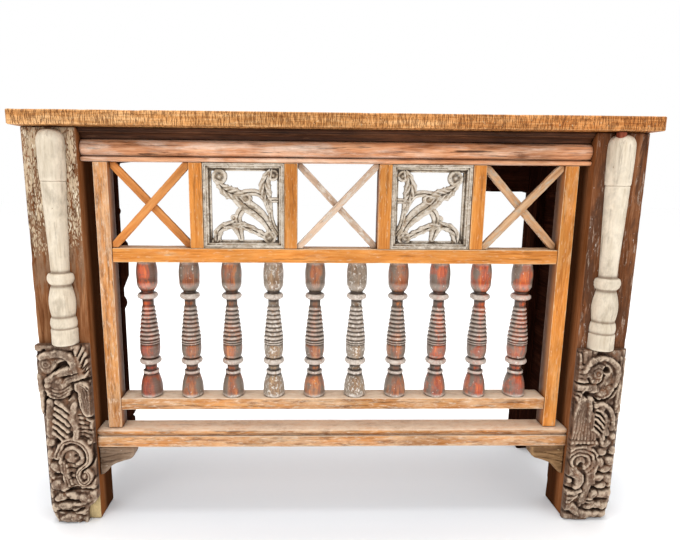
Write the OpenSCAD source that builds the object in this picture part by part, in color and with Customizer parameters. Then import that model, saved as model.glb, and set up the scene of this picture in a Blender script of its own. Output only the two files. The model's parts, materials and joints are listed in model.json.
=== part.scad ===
// Console table built from a reclaimed carved balustrade.
// X runs along the table, Y from the front to the back, Z up.
// The origin is on the floor under the middle of the top.

/* [Overall] */
// Length of the top
top_l = 1334; // [1200:2:1500]
// Depth of the top
top_d = 450; // [420:2:520]
// Thickness of the top planks
top_t = 31; // [25:1:40]
// Height of the table
table_h = 920; // [900:5:950]
// How far the top stands out past the posts at the front and back
top_over = 30; // [20:1:34]

/* [Posts] */
// Length over the outer faces of the posts
posts_l = 1310; // [1180:2:1330]
// Width of a post, seen from the front
post_w = 113; // [110:1:120]
// Depth of a post, front to back
post_d = 78; // [74:1:90]
// Width of the cut-off outer corner at the foot of a front post
foot_cut_w = 18; // [8:1:24]
// Height of that cut
foot_cut_h = 38; // [15:1:44]
// How far a carved block stands out from its post
carve_t = 25; // [22:1:30]
// Height of the carved block on the left
carve_h_left = 428; // [410:1:440]
// Height of the carved block on the right
carve_h_right = 417; // [410:1:440]

/* [Columns] */
// Greatest radius of the half columns
column_r = 28.5; // [25:0.5:29]
// Length of the separate cap of a half column
cap_h = 106; // [90:1:115]

/* [Rails] */
// Height of the underside of the apron
apron_z = 820; // [815:1:830]
// Height of the moulded part of the apron, under the cornice
apron_h = 47; // [44:1:49]
// Depth of the apron
apron_d = 48; // [44:1:52]
// How far the apron is set back from the posts
apron_back = 10; // [8:1:14]
// Height of the underside of the bottom rail
base_z = 176; // [150:1:190]
// Height of the bottom rail
base_h = 44; // [40:1:50]
// Depth of the bottom rail
base_d = 51; // [48:1:60]
// How far the bottom rail is set back from the posts
base_back = 4; // [2:1:8]

/* [Balustrade] */
// How far the balustrade frame is set back from the posts
frame_back = 15; // [12:1:20]
// Depth of the stiles and of the bars above the middle rail
frame_d = 36; // [30:1:40]
// Width of a stile
stile_w = 31; // [26:1:36]
// Distance between the outer faces of the stiles
frame_l = 1038; // [1000:2:1050]
// Height of the underside of the lower rail
lower_z = 264; // [255:1:270]
// Height of the lower rail
lower_h = 28; // [26:1:32]
// Depth of the lower and the middle rail
rail_d = 51; // [51:1:56]
// Height of the underside of the middle rail
mid_z = 605; // [600:1:620]
// Height of the middle rail
mid_h = 32; // [28:1:36]
// Distance between the middles of two balusters
baluster_pitch = 94; // [90:0.5:96]
// Greatest radius of a baluster
baluster_r = 25; // [22:0.5:25]
// Width of the bars between the upper panels
muntin_w = 29; // [26:1:32]
// Distance between the middles of two of those bars
muntin_pitch = 203; // [198:1:206]
// Width of a slat in the crossed panels
slat_w = 17; // [16:1:24]
// Thickness of a slat
slat_t = 10; // [8:1:11]
// Width of the border of a pierced leaf panel
leaf_border = 12; // [10:1:14]
// Thickness of a pierced leaf panel
leaf_t = 18; // [14:1:20]

/* [Sides and back] */
// Thickness of the boards that close the sides
side_t = 18; // [15:1:22]
// Height of the lower edge of the side boards
side_z0 = 190; // [180:5:260]
// Height of the upper edge of the side boards
side_z1 = 765; // [700:5:780]
// Thickness of the rear apron and the top side rails
rail_t = 26; // [22:1:30]

/* [Joints] */
// Clearance round every tenon, spigot and peg
fit = 0.15; // [0.1:0.05:0.3]
// Length of the tenons in the posts
tenon_l = 25; // [20:1:30]
// Length of the stub tenons inside the balustrade
stub_l = 10; // [8:1:12]
// Radius of the balusters' spigots
spigot_r = 7; // [6:0.5:9]
// Radius of the pegs that lock the tenons
peg_r = 4; // [3:0.5:5]

/* [Hidden] */
$fn = 64;

post_h = table_h - top_t;
front_y = -top_d / 2 + top_over;          // front faces of the posts
rear_y = -front_y;                        // rear faces of the posts
inner_x = posts_l / 2 - post_w;           // faces of the posts towards the middle
post_x = posts_l / 2 - post_w / 2;
side_x = posts_l / 2 - post_w / 2;        // middle plane of the side boards
side_l = rear_y - front_y - 2 * post_d;   // gap between a front and a rear post
frame_y = front_y + frame_back;
stile_x = frame_l / 2 - stile_w;          // faces of the stiles towards the middle
base_top = base_z + base_h;
lower_top = lower_z + lower_h;
mid_top = mid_z + mid_h;
panel_h = apron_z - mid_top;
baluster_h = mid_z - lower_top;
baluster_y = frame_y + rail_d / 2;
plank_d = top_d / 3;
peg_in = tenon_l / 2;                     // pegs stand this far inside the posts
tenon_t = 16;
apron_top = apron_z + apron_h;
column_x = post_x - 5;
dowel_r = 6;
dowel_l = 18;
batten_w = 60;
batten_t = 22;
batten_x = 300;

// Edges of the five upper panels, from the left to the right
bar_x = [for (i = [-1.5:1:1.5]) i * muntin_pitch];
panel_x0 = concat([-stile_x], [for (x = bar_x) x + muntin_w / 2]);
panel_x1 = concat([for (x = bar_x) x - muntin_w / 2], [stile_x]);

// ---- helpers ----

// Block from one corner to the opposite one
module block(x0, x1, y0, y1, z0, z1)
  translate([x0, y0, z0]) cube([x1 - x0, y1 - y0, z1 - z0]);

// Bar along X between x0 and x1 whose end shape is drawn in (Y, Z)
module bar_along_x(x0, x1)
  translate([x0, 0, 0]) rotate([90, 0, 90]) linear_extrude(x1 - x0) children();

// Half of a round turning, in front of the plane y = 0
module half_turning(profile, r)
  intersection() {
    rotate_extrude() polygon(profile);
    translate([-r - 1, -r - 1, -1]) cube([2 * r + 2, r + 1, post_h]);
  }

// Points of a curve that swells by `swell` on the way from (r0, z0) to (r1, z1)
function bulge(r0, z0, r1, z1, swell, n = 8) =
  [for (i = [0:n]) let (t = i / n)
    [r0 + (r1 - r0) * t + swell * sin(180 * t), z0 + (z1 - z0) * t]];

// Points of `ribs` rounded ribs on a cone from (r0, z0) to (r1, z1)
function ribbed(r0, z0, r1, z1, ribs, proud, n = 5) =
  [for (i = [0:ribs * n]) let (t = i / (ribs * n))
    [r0 + (r1 - r0) * t + proud * abs(sin(180 * ribs * t)), z0 + (z1 - z0) * t]];

// ---- the top ----

module plank(row) {
  y0 = -top_d / 2 + row * plank_d;
  color("peru") difference() {
    block(-top_l / 2, top_l / 2, y0, y0 + plank_d, post_h, table_h);
    for (y = [-plank_d / 2, plank_d / 2])
      block(-top_l / 2 + 20, top_l / 2 - 20, y - 8.5, y + 8.5,
            post_h + top_t / 2 - 3 - fit, post_h + top_t / 2 + 3 + fit);
    screw_places() cylinder(h = 18, r = 2);
    dowel_places() cylinder(h = dowel_l + 1, r = dowel_r + fit);
  }
}
module top_plank_front() plank(0);
module top_plank_middle() plank(1);
module top_plank_back() plank(2);

module top_splines()
  color("burlywood") for (y = [-plank_d / 2, plank_d / 2])
    block(-top_l / 2 + 21, top_l / 2 - 21, y - 8, y + 8,
          post_h + top_t / 2 - 3, post_h + top_t / 2 + 3);

module screw_places()
  for (x = [-batten_x, batten_x], y = [-100, -55, 0, 55, 100])
    translate([x, y, post_h]) children();

module top_battens()
  color("sienna") difference() {
    for (x = [-batten_x, batten_x])
      block(x - batten_w / 2, x + batten_w / 2, -125, 125, post_h - batten_t, post_h);
    screw_places() translate([0, 0, -batten_t - 1]) cylinder(h = batten_t + 2, r = 2);
    screw_places() translate([0, 0, -batten_t - 1]) cylinder(h = 4, r = 4.2);
  }

module top_screws()
  color("dimgray") screw_places() union() {
    translate([0, 0, -batten_t + 1]) cylinder(h = batten_t + 15, r = 1.9);
    translate([0, 0, -batten_t]) cylinder(h = 3, r = 4);
  }

module dowel_places()
  for (x = [-post_x, post_x], y = [front_y + post_d / 2, rear_y - post_d / 2])
    translate([x, y, post_h]) children();

module top_dowels()
  color("burlywood") dowel_places()
    translate([0, 0, -dowel_l]) cylinder(h = 2 * dowel_l, r = dowel_r);

// ---- the posts ----

// Mortise for a tenon that comes in from the middle of the table, right-hand side
module mortise_x(y0, y1, z0, z1)
  block(inner_x - 1, inner_x + tenon_l + 1, y0 - fit, y1 + fit, z0 - fit, z1 + fit);

module post_block(y0, face)
  difference() {
    block(inner_x, posts_l / 2, y0, y0 + post_d, 0, post_h);
    // groove for the side board and mortise for the top side rail
    groove_y = face > 0 ? y0 + post_d : y0;
    block(side_x - side_t / 2 - fit, side_x + side_t / 2 + fit,
          groove_y - 9, groove_y + 9, side_z0 - fit, side_z1 + fit);
    block(side_x - tenon_t / 2 - fit, side_x + tenon_t / 2 + fit,
          groove_y - tenon_l - 1, groove_y + tenon_l + 1,
          apron_z + 10 - fit, post_h - 15 + fit);
    translate([post_x, y0 + post_d / 2, post_h - dowel_l - 1])
      cylinder(h = dowel_l + 2, r = dowel_r + fit);
  }

module front_post()
  difference() {
    post_block(front_y, 1);
    mortise_x(apron_tenon_y0, apron_tenon_y0 + tenon_t, apron_z + 8, apron_top - 8);
    mortise_x(base_tenon_y0, base_tenon_y0 + tenon_t, base_z + 8, base_top - 8);
    peg_places() peg_bore();
    translate([posts_l / 2, front_y, 0]) mirror([1, 0, 0]) foot_cut();
  }
module rear_post()
  difference() {
    post_block(rear_y - post_d, -1);
    mortise_x(rear_apron_y, rear_apron_y + tenon_t, rear_apron_z + 8, post_h - 12);
  }

apron_tenon_y0 = front_y + apron_back + 18;
base_tenon_y0 = front_y + base_back + 18;
rear_apron_y = rear_y - post_d / 2 - tenon_t / 2;
rear_apron_z = apron_z + 20;
corbel_z = apron_z - 62;

module front_post_left() color("tan") mirror([1, 0, 0]) front_post();
module front_post_right() color("rosybrown") front_post();

// The left rear post is a narrower timber, made up by the turning beside it
rear_left_w = 58;
rear_left_z = apron_z + 8;
module rear_post_left()
  color("saddlebrown") difference() {
    mirror([1, 0, 0]) rear_post();
    block(-inner_x - post_w + rear_left_w, -inner_x + 1, rear_y - post_d - 1,
          rear_y + 1, -1, rear_left_z);
  }
// The right rear post is cut back on its inner face below the corbel
module rear_post_right()
  color("saddlebrown") difference() {
    rear_post();
    block(inner_x - 1, inner_x + 26, rear_y - post_d - 1, rear_y + 1, -1, corbel_z);
  }

// Cuts the lower corner at x = 0 off a post or a carved block that stands on z = 0
module foot_cut()
  rotate([90, 0, 0]) linear_extrude(4 * post_d, center = true)
    polygon([[-foot_cut_w, 0], [-foot_cut_w, 2 * foot_cut_h], [0, foot_cut_h],
             [foot_cut_w, 0], [2 * foot_cut_w, -foot_cut_h], [-foot_cut_w, -foot_cut_h]]);

// ---- carved blocks on the lower half of the front posts ----

// Relief of one block: x from 0 to post_w and z from 0 to h, depth towards -Y
module relief(h) {
  t = carve_t;
  difference() {
    union() {
      block(0, post_w, -t * 0.45, 0, 0, h - 18);
      block(0, post_w, -t, 0, h - 18, h);
      block(0, post_w, -t, 0, 0, 40);
      // rounded neck over a deep hollow
      translate([post_w * 0.40, 0, h * 0.84]) rotate([90, 0, 0])
        cylinder(h = t * 0.9, r = post_w * 0.33);
      // head and breast
      translate([post_w * 0.36, 0, h * 0.72]) rotate([90, 0, 0])
        cylinder(h = t * 0.95, r = post_w * 0.30);
      // plume and wing
      translate([post_w * 0.70, 0, h * 0.60]) rotate([90, 0, 0])
        cylinder(h = t * 0.8, r = post_w * 0.28);
      translate([post_w * 0.42, 0, h * 0.46]) rotate([90, 0, 0])
        cylinder(h = t * 0.85, r = post_w * 0.38);
      // scrolls
      translate([post_w * 0.50, 0, h * 0.27]) rotate([90, 0, 0])
        cylinder(h = t, r = post_w * 0.34);
      translate([post_w * 0.70, 0, h * 0.16]) rotate([90, 0, 0])
        cylinder(h = t * 0.9, r = post_w * 0.24);
    }
    translate([post_w * 0.42, -t - 1, h * 0.845]) rotate([-90, 0, 0])
      cylinder(h = t * 0.8, r = post_w * 0.09);
    translate([post_w * 0.50, -t - 1, h * 0.27]) rotate([-90, 0, 0]) difference() {
      cylinder(h = t * 0.4, r = post_w * 0.22);
      translate([0, 0, -1]) cylinder(h = t, r = post_w * 0.14);
    }
    foot_cut();
  }
}
module carved_block_left()
  color("darkkhaki") translate([-posts_l / 2, front_y, 0]) relief(carve_h_left);
module carved_block_right()
  color("gray") translate([posts_l / 2, front_y, 0])
    mirror([1, 0, 0]) relief(carve_h_right);

// ---- half columns on the upper half of the front posts ----

// Height of the shaft with its rings, which stands on the carved block
function shaft_h(foot) = post_h - 5 - cap_h - foot;

function shaft_profile(h, r) = concat(
  [[0, 0], [r - 0.5, 0], [r, 3], [r, h * 0.10]],
  bulge(r - 2, h * 0.105, r - 2, h * 0.170, 2),
  bulge(r - 4, h * 0.178, r * 0.74, h * 0.375, 5.5),
  bulge(r - 2.5, h * 0.392, r - 2.5, h * 0.445, 2.5),
  [[r * 0.68, h * 0.452], [r * 0.90, h], [0, h]]);

function cap_profile(h, r) = concat(
  [[0, 0], [r - 3, 0], [r - 1.5, 4]],
  [[r, h * 0.5], [r, h * 0.72]],
  [for (a = [0:10:90]) [r * cos(a) * 0.98, h * 0.72 + h * 0.28 * sin(a)]]);

module column(foot)
  translate([0, front_y, foot]) half_turning(shaft_profile(shaft_h(foot), column_r), 40);
module column_cap()
  translate([0, front_y, post_h - 5 - cap_h])
    half_turning(cap_profile(cap_h, column_r), 40);

module column_left() color("ivory") translate([-column_x, 0, 0]) column(carve_h_left);
module column_right() color("ivory") translate([column_x, 0, 0]) column(carve_h_right);
module column_cap_left() color("ivory") translate([-column_x, 0, 0]) column_cap();
module column_cap_right()
  color("ivory") difference() {
    translate([column_x, 0, 0]) column_cap();
    translate([column_x - 8, front_y - 11, post_h - 25]) cylinder(h = 30, r = 10 + fit);
  }
// Round peg wedged between the right cap and the top
module column_peg_right()
  color("firebrick") translate([column_x - 8, front_y - 11, post_h - 25])
    cylinder(h = 25, r = 10);

// ---- back of the table ----

// Split turning on the inner face of the left rear post
function rear_profile(h) = concat(
  [[0, 0], [24, 0], [24, h * 0.10]],
  bulge(14, h * 0.105, 14, h * 0.155, 14),
  [[12, h * 0.17], [12, h * 0.47]],
  bulge(11, h * 0.50, 11, h * 0.55, 9),
  [[11, h * 0.57], [28, h * 0.62], [30, h * 0.73]],
  [[12, h * 0.76], [10, h * 0.81]],
  bulge(10, h * 0.825, 10, h * 0.855, 6),
  [[10, h * 0.87], [12, h * 0.97], [22, h], [0, h]]);
module rear_column_left()
  color("saddlebrown")
    translate([-inner_x - post_w + rear_left_w, rear_y - post_d / 2, 0])
      rotate([0, 0, 90]) half_turning(rear_profile(rear_left_z), 39);

module rear_corbel_right()
  color("saddlebrown") difference() {
    block(inner_x - 117, inner_x, rear_y - post_d, rear_y - post_d + 60, corbel_z,
          rear_apron_z);
    translate([inner_x - 117, rear_y, corbel_z]) rotate([90, 0, 0])
      cylinder(h = 2 * post_d, r = 14);
  }

module rear_apron()
  color("saddlebrown") union() {
    block(-inner_x, inner_x, rear_apron_y, rear_apron_y + rail_t, rear_apron_z, post_h);
    block(-inner_x - tenon_l, inner_x + tenon_l, rear_apron_y, rear_apron_y + tenon_t,
          rear_apron_z + 8, post_h - 12);
  }

module side_rail()
  union() {
    block(side_x - rail_t / 2, side_x + rail_t / 2, -side_l / 2, side_l / 2,
          apron_z, post_h);
    block(side_x - tenon_t / 2, side_x + tenon_t / 2, -side_l / 2 - tenon_l,
          side_l / 2 + tenon_l, apron_z + 10, post_h - 15);
  }
module side_rail_left() color("saddlebrown") mirror([1, 0, 0]) side_rail();
module side_rail_right() color("saddlebrown") side_rail();

module side_board()
  block(side_x - side_t / 2, side_x + side_t / 2, -side_l / 2 - 8, side_l / 2 + 8,
        side_z0, side_z1);
module side_board_left() color("saddlebrown") mirror([1, 0, 0]) side_board();
module side_board_right() color("saddlebrown") side_board();

// ---- apron and bottom rail ----

// Rail with a round nose over a bead, with a tenon at each end
module apron_rail() {
  y0 = front_y + apron_back;
  color("sandybrown") difference() {
    union() {
      bar_along_x(-inner_x, inner_x) union() {
        translate([y0 + 12, apron_z]) square([apron_d - 12, apron_h]);
        translate([y0 + 19, apron_z + apron_h - 19]) circle(r = 19);
        translate([y0 + 6, apron_z + 5]) circle(r = 5);
        translate([y0 + 6, apron_z]) square([10, 10]);
      }
      block(-inner_x - tenon_l, inner_x + tenon_l, apron_tenon_y0,
            apron_tenon_y0 + tenon_t, apron_z + 8, apron_top - 8);
    }
    for (x = bar_x) stub_socket(x, apron_z);
    for (s = [-1, 1]) stub_socket(s * (stile_x + stile_w / 2), apron_z);
    peg_places_both() peg_bore();
  }
}

// Cove that fills the corner between the apron and the top
module apron_cornice() {
  y0 = front_y + apron_back - 4;
  color("sienna") bar_along_x(-inner_x, inner_x) difference() {
    translate([y0, apron_top]) square([30, post_h - apron_top]);
    translate([y0, apron_top]) circle(r = 15);
  }
}

// Rail with a bead, a groove and a flat face, with a tenon at each end
module bottom_rail() {
  y0 = front_y + base_back;
  color("burlywood") difference() {
    union() {
      bar_along_x(-inner_x, inner_x) difference() {
        union() {
          translate([y0 + 5, base_z]) square([base_d - 5, base_h]);
          translate([y0, base_z]) square([10, base_h - 16]);
          translate([y0 + 6, base_top - 6]) circle(r = 6);
        }
        translate([y0, base_z]) rotate(45) square(4, center = true);
      }
      block(-inner_x - tenon_l, inner_x + tenon_l, base_tenon_y0,
            base_tenon_y0 + tenon_t, base_z + 8, base_top - 8);
    }
    for (s = [-1, 1]) stub_socket(s * (stile_x + stile_w / 2), base_top);
    peg_places_both() peg_bore();
  }
}

// Scrolled bracket in the corner between the right post and the bottom rail
module bracket(reach, drop) {
  y0 = front_y + base_back + 4;
  translate([inner_x, y0 + 30, base_z]) rotate([90, 0, 0]) linear_extrude(30)
    polygon([[0, 0], [-reach, 0], [-reach * 0.95, -drop * 0.12],
             [-reach * 0.92, -drop * 0.30], [-reach * 0.84, -drop * 0.42],
             [-reach * 0.64, -drop * 0.50], [-reach * 0.42, -drop * 0.60],
             [-reach * 0.29, -drop * 0.70], [-reach * 0.22, -drop * 0.82],
             [-reach * 0.08, -drop * 0.97], [0, -drop]]);
}
module bracket_left() color("saddlebrown") mirror([1, 0, 0]) bracket(86, 70);
module bracket_right() color("goldenrod") bracket(84, 72);

// Pegs through the front posts' tenons, driven in from behind
module peg_places()
  for (z = [apron_z + apron_h / 2, base_z + base_h / 2])
    translate([inner_x + peg_in, front_y + post_d, z]) rotate([90, 0, 0]) children();
module peg_places_both() {
  peg_places() children();
  mirror([1, 0, 0]) peg_places() children();
}
module peg_bore() translate([0, 0, -1]) cylinder(h = post_d * 0.75 + 1.5, r = peg_r + fit);
module joint_pegs()
  color("burlywood") peg_places_both() cylinder(h = post_d * 0.75, r = peg_r);

// ---- the balustrade frame ----

// Stub tenon of a stile or bar, and the socket that takes it
module stub(x, z0, z1, y = frame_y + 12)
  block(x - 8, x + 8, y, y + 12, z0, z1);
module stub_socket(x, z)
  block(x - 8 - fit, x + 8 + fit, frame_y + 12 - fit, frame_y + 24 + fit,
        z - stub_l - 0.5, z + stub_l + 0.5);

module stile() {
  x = stile_x + stile_w / 2;
  difference() {
    union() {
      block(stile_x, stile_x + stile_w, frame_y, frame_y + frame_d, base_top, apron_z);
      stub(x, base_top - stub_l, apron_z + stub_l);
    }
    for (z = [lower_z + 6, mid_z + 6])
      block(stile_x - 1, stile_x + stub_l + 0.5, frame_y + 12 - fit,
            frame_y + 24 + fit, z - fit, z + 16 + fit);
  }
}
module stile_left() color("burlywood") mirror([1, 0, 0]) stile();
module stile_right() color("sandybrown") stile();

module baluster_places(z)
  for (i = [0:9]) translate([(i - 4.5) * baluster_pitch, baluster_y, z]) children();

module lower_rail()
  color("burlywood") difference() {
    union() {
      block(-stile_x, stile_x, frame_y, frame_y + rail_d, lower_z, lower_top);
      block(-stile_x - stub_l, stile_x + stub_l, frame_y + 12, frame_y + 24,
            lower_z + 6, lower_z + 22);
    }
    baluster_places(lower_top - 13) cylinder(h = 14, r = spigot_r + fit);
  }

module mid_rail()
  color("sandybrown") difference() {
    union() {
      block(-stile_x, stile_x, frame_y, frame_y + rail_d, mid_z, mid_top);
      block(-stile_x - stub_l, stile_x + stub_l, frame_y + 12, frame_y + 24,
            mid_z + 6, mid_z + 22);
    }
    baluster_places(mid_z - 1) cylinder(h = 14, r = spigot_r + fit);
    for (x = bar_x) stub_socket(x, mid_top);
  }

// Points of a thin-edged collar of radius r and thickness t
function collar(r, z, t) =
  [[r * 0.66, z], [r * 0.94, z + t * 0.25], [r, z + t * 0.42], [r, z + t * 0.62],
   [r * 0.90, z + t * 0.85], [r * 0.66, z + t]];

// Outline of a baluster, from its lower spigot to its upper one
function baluster_profile(h, r) = concat(
  [[0, -12], [spigot_r, -12], [spigot_r, 0]],
  [[r - 2, 0], [r, 4]], bulge(r, 6, r * 0.66, h * 0.17, r * 0.10),
  [[r * 0.72, h * 0.174], [r * 0.72, h * 0.192], [r * 0.54, h * 0.196]],
  [[r * 0.54, h * 0.238]], collar(r * 0.97, h * 0.24, h * 0.052),
  bulge(r * 0.76, h * 0.295, r * 0.88, h * 0.392, r * 0.07),
  bulge(r * 0.82, h * 0.396, r * 0.82, h * 0.411, r * 0.1, 4),
  bulge(r * 0.82, h * 0.411, r * 0.82, h * 0.428, r * 0.1, 4),
  ribbed(r * 0.84, h * 0.432, r * 0.5, h * 0.676, 8, r * 0.08),
  [[r * 0.5, h * 0.724]], collar(r * 0.90, h * 0.726, h * 0.05),
  bulge(r * 0.56, h * 0.785, r * 0.90, h * 0.86, r * 0.12, 6),
  bulge(r * 0.90, h * 0.865, r * 0.78, h, r * 0.08),
  [[spigot_r, h], [spigot_r, h + 12], [0, h + 12]]);

module baluster(i)
  translate([(i - 4.5) * baluster_pitch, baluster_y, lower_top])
    rotate_extrude() polygon(baluster_profile(baluster_h, baluster_r));
module baluster_01() color("indianred") baluster(0);
module baluster_02() color("tan") baluster(1);
module baluster_03() color("tan") baluster(2);
module baluster_04() color("lightgray") baluster(3);
module baluster_05() color("tan") baluster(4);
module baluster_06() color("lightgray") baluster(5);
module baluster_07() color("tan") baluster(6);
module baluster_08() color("lightsalmon") baluster(7);
module baluster_09() color("lightsalmon") baluster(8);
module baluster_10() color("lightsalmon") baluster(9);

module muntin(i) {
  x = bar_x[i];
  union() {
    block(x - muntin_w / 2, x + muntin_w / 2, frame_y, frame_y + frame_d, mid_top, apron_z);
    stub(x, mid_top - stub_l, apron_z + stub_l);
  }
}
module muntin_1() color("sandybrown") muntin(0);
module muntin_2() color("sandybrown") muntin(1);
module muntin_3() color("sandybrown") muntin(2);
module muntin_4() color("sandybrown") muntin(3);

// ---- crossed panels ----

// One slat from corner to corner of a panel; sign is 1 when it rises to the right
module slat(panel, sign) {
  x0 = panel_x0[panel];
  x1 = panel_x1[panel];
  y0 = frame_y + (sign > 0 ? 5 : 5 + slat_t);
  angle = atan2(panel_h, x1 - x0) * sign;
  intersection() {
    block(x0, x1, y0, y0 + slat_t, mid_top, apron_z);
    translate([(x0 + x1) / 2, 0, (mid_top + apron_z) / 2]) rotate([0, -angle, 0])
      block(-200, 200, y0, y0 + slat_t, -slat_w / 2, slat_w / 2);
  }
}
module slat_1_falling() color("sandybrown") slat(0, -1);
module slat_1_rising() color("sandybrown") slat(0, 1);
module slat_3_falling() color("wheat") slat(2, -1);
module slat_3_rising() color("wheat") slat(2, 1);
module slat_5_falling() color("tan") slat(4, -1);
module slat_5_rising() color("sandybrown") slat(4, 1);

// ---- pierced leaf panels ----

// Point and direction of a quadratic curve from a to c with the control point b
function curve(a, b, c, t) = a * pow(1 - t, 2) + b * 2 * t * (1 - t) + c * t * t;
function heading(a, b, c, t) =
  let (d = (b - a) * (1 - t) + (c - b) * t) [-d[1], d[0]] / norm(d);

// Stem or leaf along such a curve: its width goes from w0 to w1 and swells between
// them, and its edges have `teeth` saw teeth
function frond_edge(a, b, c, w0, w1, swell, teeth, side) =
  let (n = max(10, 2 * teeth))
  [for (i = [0:n]) let (t = i / n, cut = teeth > 0 && i % 2 == 0 ? 0.8 : 1,
      w = (w0 + (w1 - w0) * t + swell * sin(180 * t)) * cut)
    curve(a, b, c, t) + side * w / 2 * heading(a, b, c, t)];
module frond(a, b, c, w0, w1, swell = 0, teeth = 0) {
  one = frond_edge(a, b, c, w0, w1, swell, teeth, 1);
  two = frond_edge(a, b, c, w0, w1, swell, teeth, -1);
  polygon(concat(one, [for (i = [len(two) - 1:-1:0]) two[i]]));
}

// Tracery in a panel of width w and height h, its lower left corner at the origin
module leaf_tracery(w, h) {
  function at(u, v) = [u * w, v * h];
  difference() {
    translate([leaf_border, leaf_border]) square([w - 2 * leaf_border, h - 2 * leaf_border]);
    translate([leaf_border + 10, leaf_border + 6])
      square([w - 2 * leaf_border - 15, h - 2 * leaf_border - 11]);
  }
  // curled boss in the upper left corner, and the leaf and stem across the panel
  translate(at(0.20, 0.86)) circle(r = w * 0.085);
  frond(at(0.09, 0.77), at(0.30, 0.66), at(0.52, 0.59), w * 0.05, w * 0.13, w * 0.10, 6);
  frond(at(0.46, 0.60), at(0.74, 0.46), at(0.91, 0.15), w * 0.15, w * 0.06);
  // leaf down the right side, its stem, and the arched link between the two leaves
  frond(at(0.84, 0.93), at(0.67, 0.70), at(0.83, 0.44), w * 0.16, w * 0.04, w * 0.05, 5);
  frond(at(0.83, 0.48), at(0.83, 0.32), at(0.91, 0.16), w * 0.05, w * 0.05);
  frond(at(0.53, 0.61), at(0.76, 0.72), at(0.80, 0.40), w * 0.06, w * 0.04);
  translate(at(0.90, 0.59)) circle(r = w * 0.045);
  // hook from the middle down to the arch along the bottom, with its drop
  frond(at(0.46, 0.58), at(0.41, 0.43), at(0.48, 0.30), w * 0.08, w * 0.06);
  frond(at(0.16, 0.08), at(0.15, 0.30), at(0.46, 0.29), w * 0.14, w * 0.10);
  frond(at(0.40, 0.29), at(0.60, 0.28), at(0.80, 0.14), w * 0.09, w * 0.06);
  frond(at(0.46, 0.28), at(0.46, 0.20), at(0.46, 0.12), w * 0.14, w * 0.05);
  // rosette in the lower right corner
  translate(at(0.81, 0.14)) circle(r = w * 0.075);
}

// Moulded border with the thinner tracery set back inside it
module leaf_panel() {
  w = panel_x1[1] - panel_x0[1];
  fret_t = leaf_t * 0.6;
  translate([panel_x0[1], frame_y + 3 + leaf_t, mid_top]) rotate([90, 0, 0]) union() {
    linear_extrude(leaf_t) difference() {
      square([w, panel_h]);
      translate([leaf_border, leaf_border])
        square([w - 2 * leaf_border, panel_h - 2 * leaf_border]);
    }
    linear_extrude(fret_t) leaf_tracery(w, panel_h);
  }
}
module leaf_panel_left() color("silver") leaf_panel();
module leaf_panel_right() color("silver") mirror([1, 0, 0]) leaf_panel();

// ---- drawing ----

top_plank_front();
top_plank_middle();
top_plank_back();
top_splines();
top_battens();
top_screws();
top_dowels();
front_post_left();
front_post_right();
rear_post_left();
rear_post_right();
carved_block_left();
carved_block_right();
column_left();
column_right();
column_cap_left();
column_cap_right();
column_peg_right();
rear_column_left();
rear_corbel_right();
apron_rail();
apron_cornice();
rear_apron();
side_rail_left();
side_rail_right();
side_board_left();
side_board_right();
bottom_rail();
bracket_left();
bracket_right();
joint_pegs();
stile_left();
stile_right();
mid_rail();
lower_rail();
muntin_1();
muntin_2();
muntin_3();
muntin_4();
leaf_panel_left();
leaf_panel_right();
slat_1_falling();
slat_1_rising();
slat_3_falling();
slat_3_rising();
slat_5_falling();
slat_5_rising();
baluster_01();
baluster_02();
baluster_03();
baluster_04();
baluster_05();
baluster_06();
baluster_07();
baluster_08();
baluster_09();
baluster_10();
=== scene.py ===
"""Console table built from a reclaimed carved balustrade: the looks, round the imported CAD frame.

Lengths are metres. X runs along the table, Y from its front to its back, Z up.
Every piece takes its place from the CAD node that it stands for.
"""

import json
import math

import bpy
import numpy as np
from mathutils import Matrix, Vector

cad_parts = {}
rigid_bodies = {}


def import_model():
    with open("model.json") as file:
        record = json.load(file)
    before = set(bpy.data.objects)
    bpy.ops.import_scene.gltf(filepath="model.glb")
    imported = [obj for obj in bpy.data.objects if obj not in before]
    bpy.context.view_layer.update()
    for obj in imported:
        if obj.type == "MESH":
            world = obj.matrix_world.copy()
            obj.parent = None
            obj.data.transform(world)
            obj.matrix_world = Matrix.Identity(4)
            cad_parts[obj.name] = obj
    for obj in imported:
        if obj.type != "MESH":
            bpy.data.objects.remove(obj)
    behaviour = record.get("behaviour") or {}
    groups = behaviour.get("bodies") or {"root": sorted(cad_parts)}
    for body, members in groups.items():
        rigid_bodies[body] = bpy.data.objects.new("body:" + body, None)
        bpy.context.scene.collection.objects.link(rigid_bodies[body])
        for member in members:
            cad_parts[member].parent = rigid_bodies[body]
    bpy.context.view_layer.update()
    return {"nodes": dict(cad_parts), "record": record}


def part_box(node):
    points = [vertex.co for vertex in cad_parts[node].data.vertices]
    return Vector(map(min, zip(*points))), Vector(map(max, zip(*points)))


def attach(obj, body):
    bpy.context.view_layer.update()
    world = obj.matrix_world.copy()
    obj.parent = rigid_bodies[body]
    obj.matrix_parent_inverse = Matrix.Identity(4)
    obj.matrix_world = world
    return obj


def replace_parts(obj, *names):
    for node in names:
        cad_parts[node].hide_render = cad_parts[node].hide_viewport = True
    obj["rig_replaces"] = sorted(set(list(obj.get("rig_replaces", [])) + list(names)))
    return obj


MM = 0.001
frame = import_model()


# ---------------------------------------------------------------- places

class Place:
    """The box of a CAD node, by its sides."""

    def __init__(self, node):
        (self.x0, self.y0, self.z0), (self.x1, self.y1, self.z1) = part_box(node)
        self.w, self.d, self.h = self.x1 - self.x0, self.y1 - self.y0, self.z1 - self.z0
        self.cx, self.cy = (self.x0 + self.x1) / 2, (self.y0 + self.y1) / 2


POST = {side: Place("front_post_" + side) for side in ("left", "right")}
FRONT_Y = POST["left"].y0
INNER_X = POST["right"].x0


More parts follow.
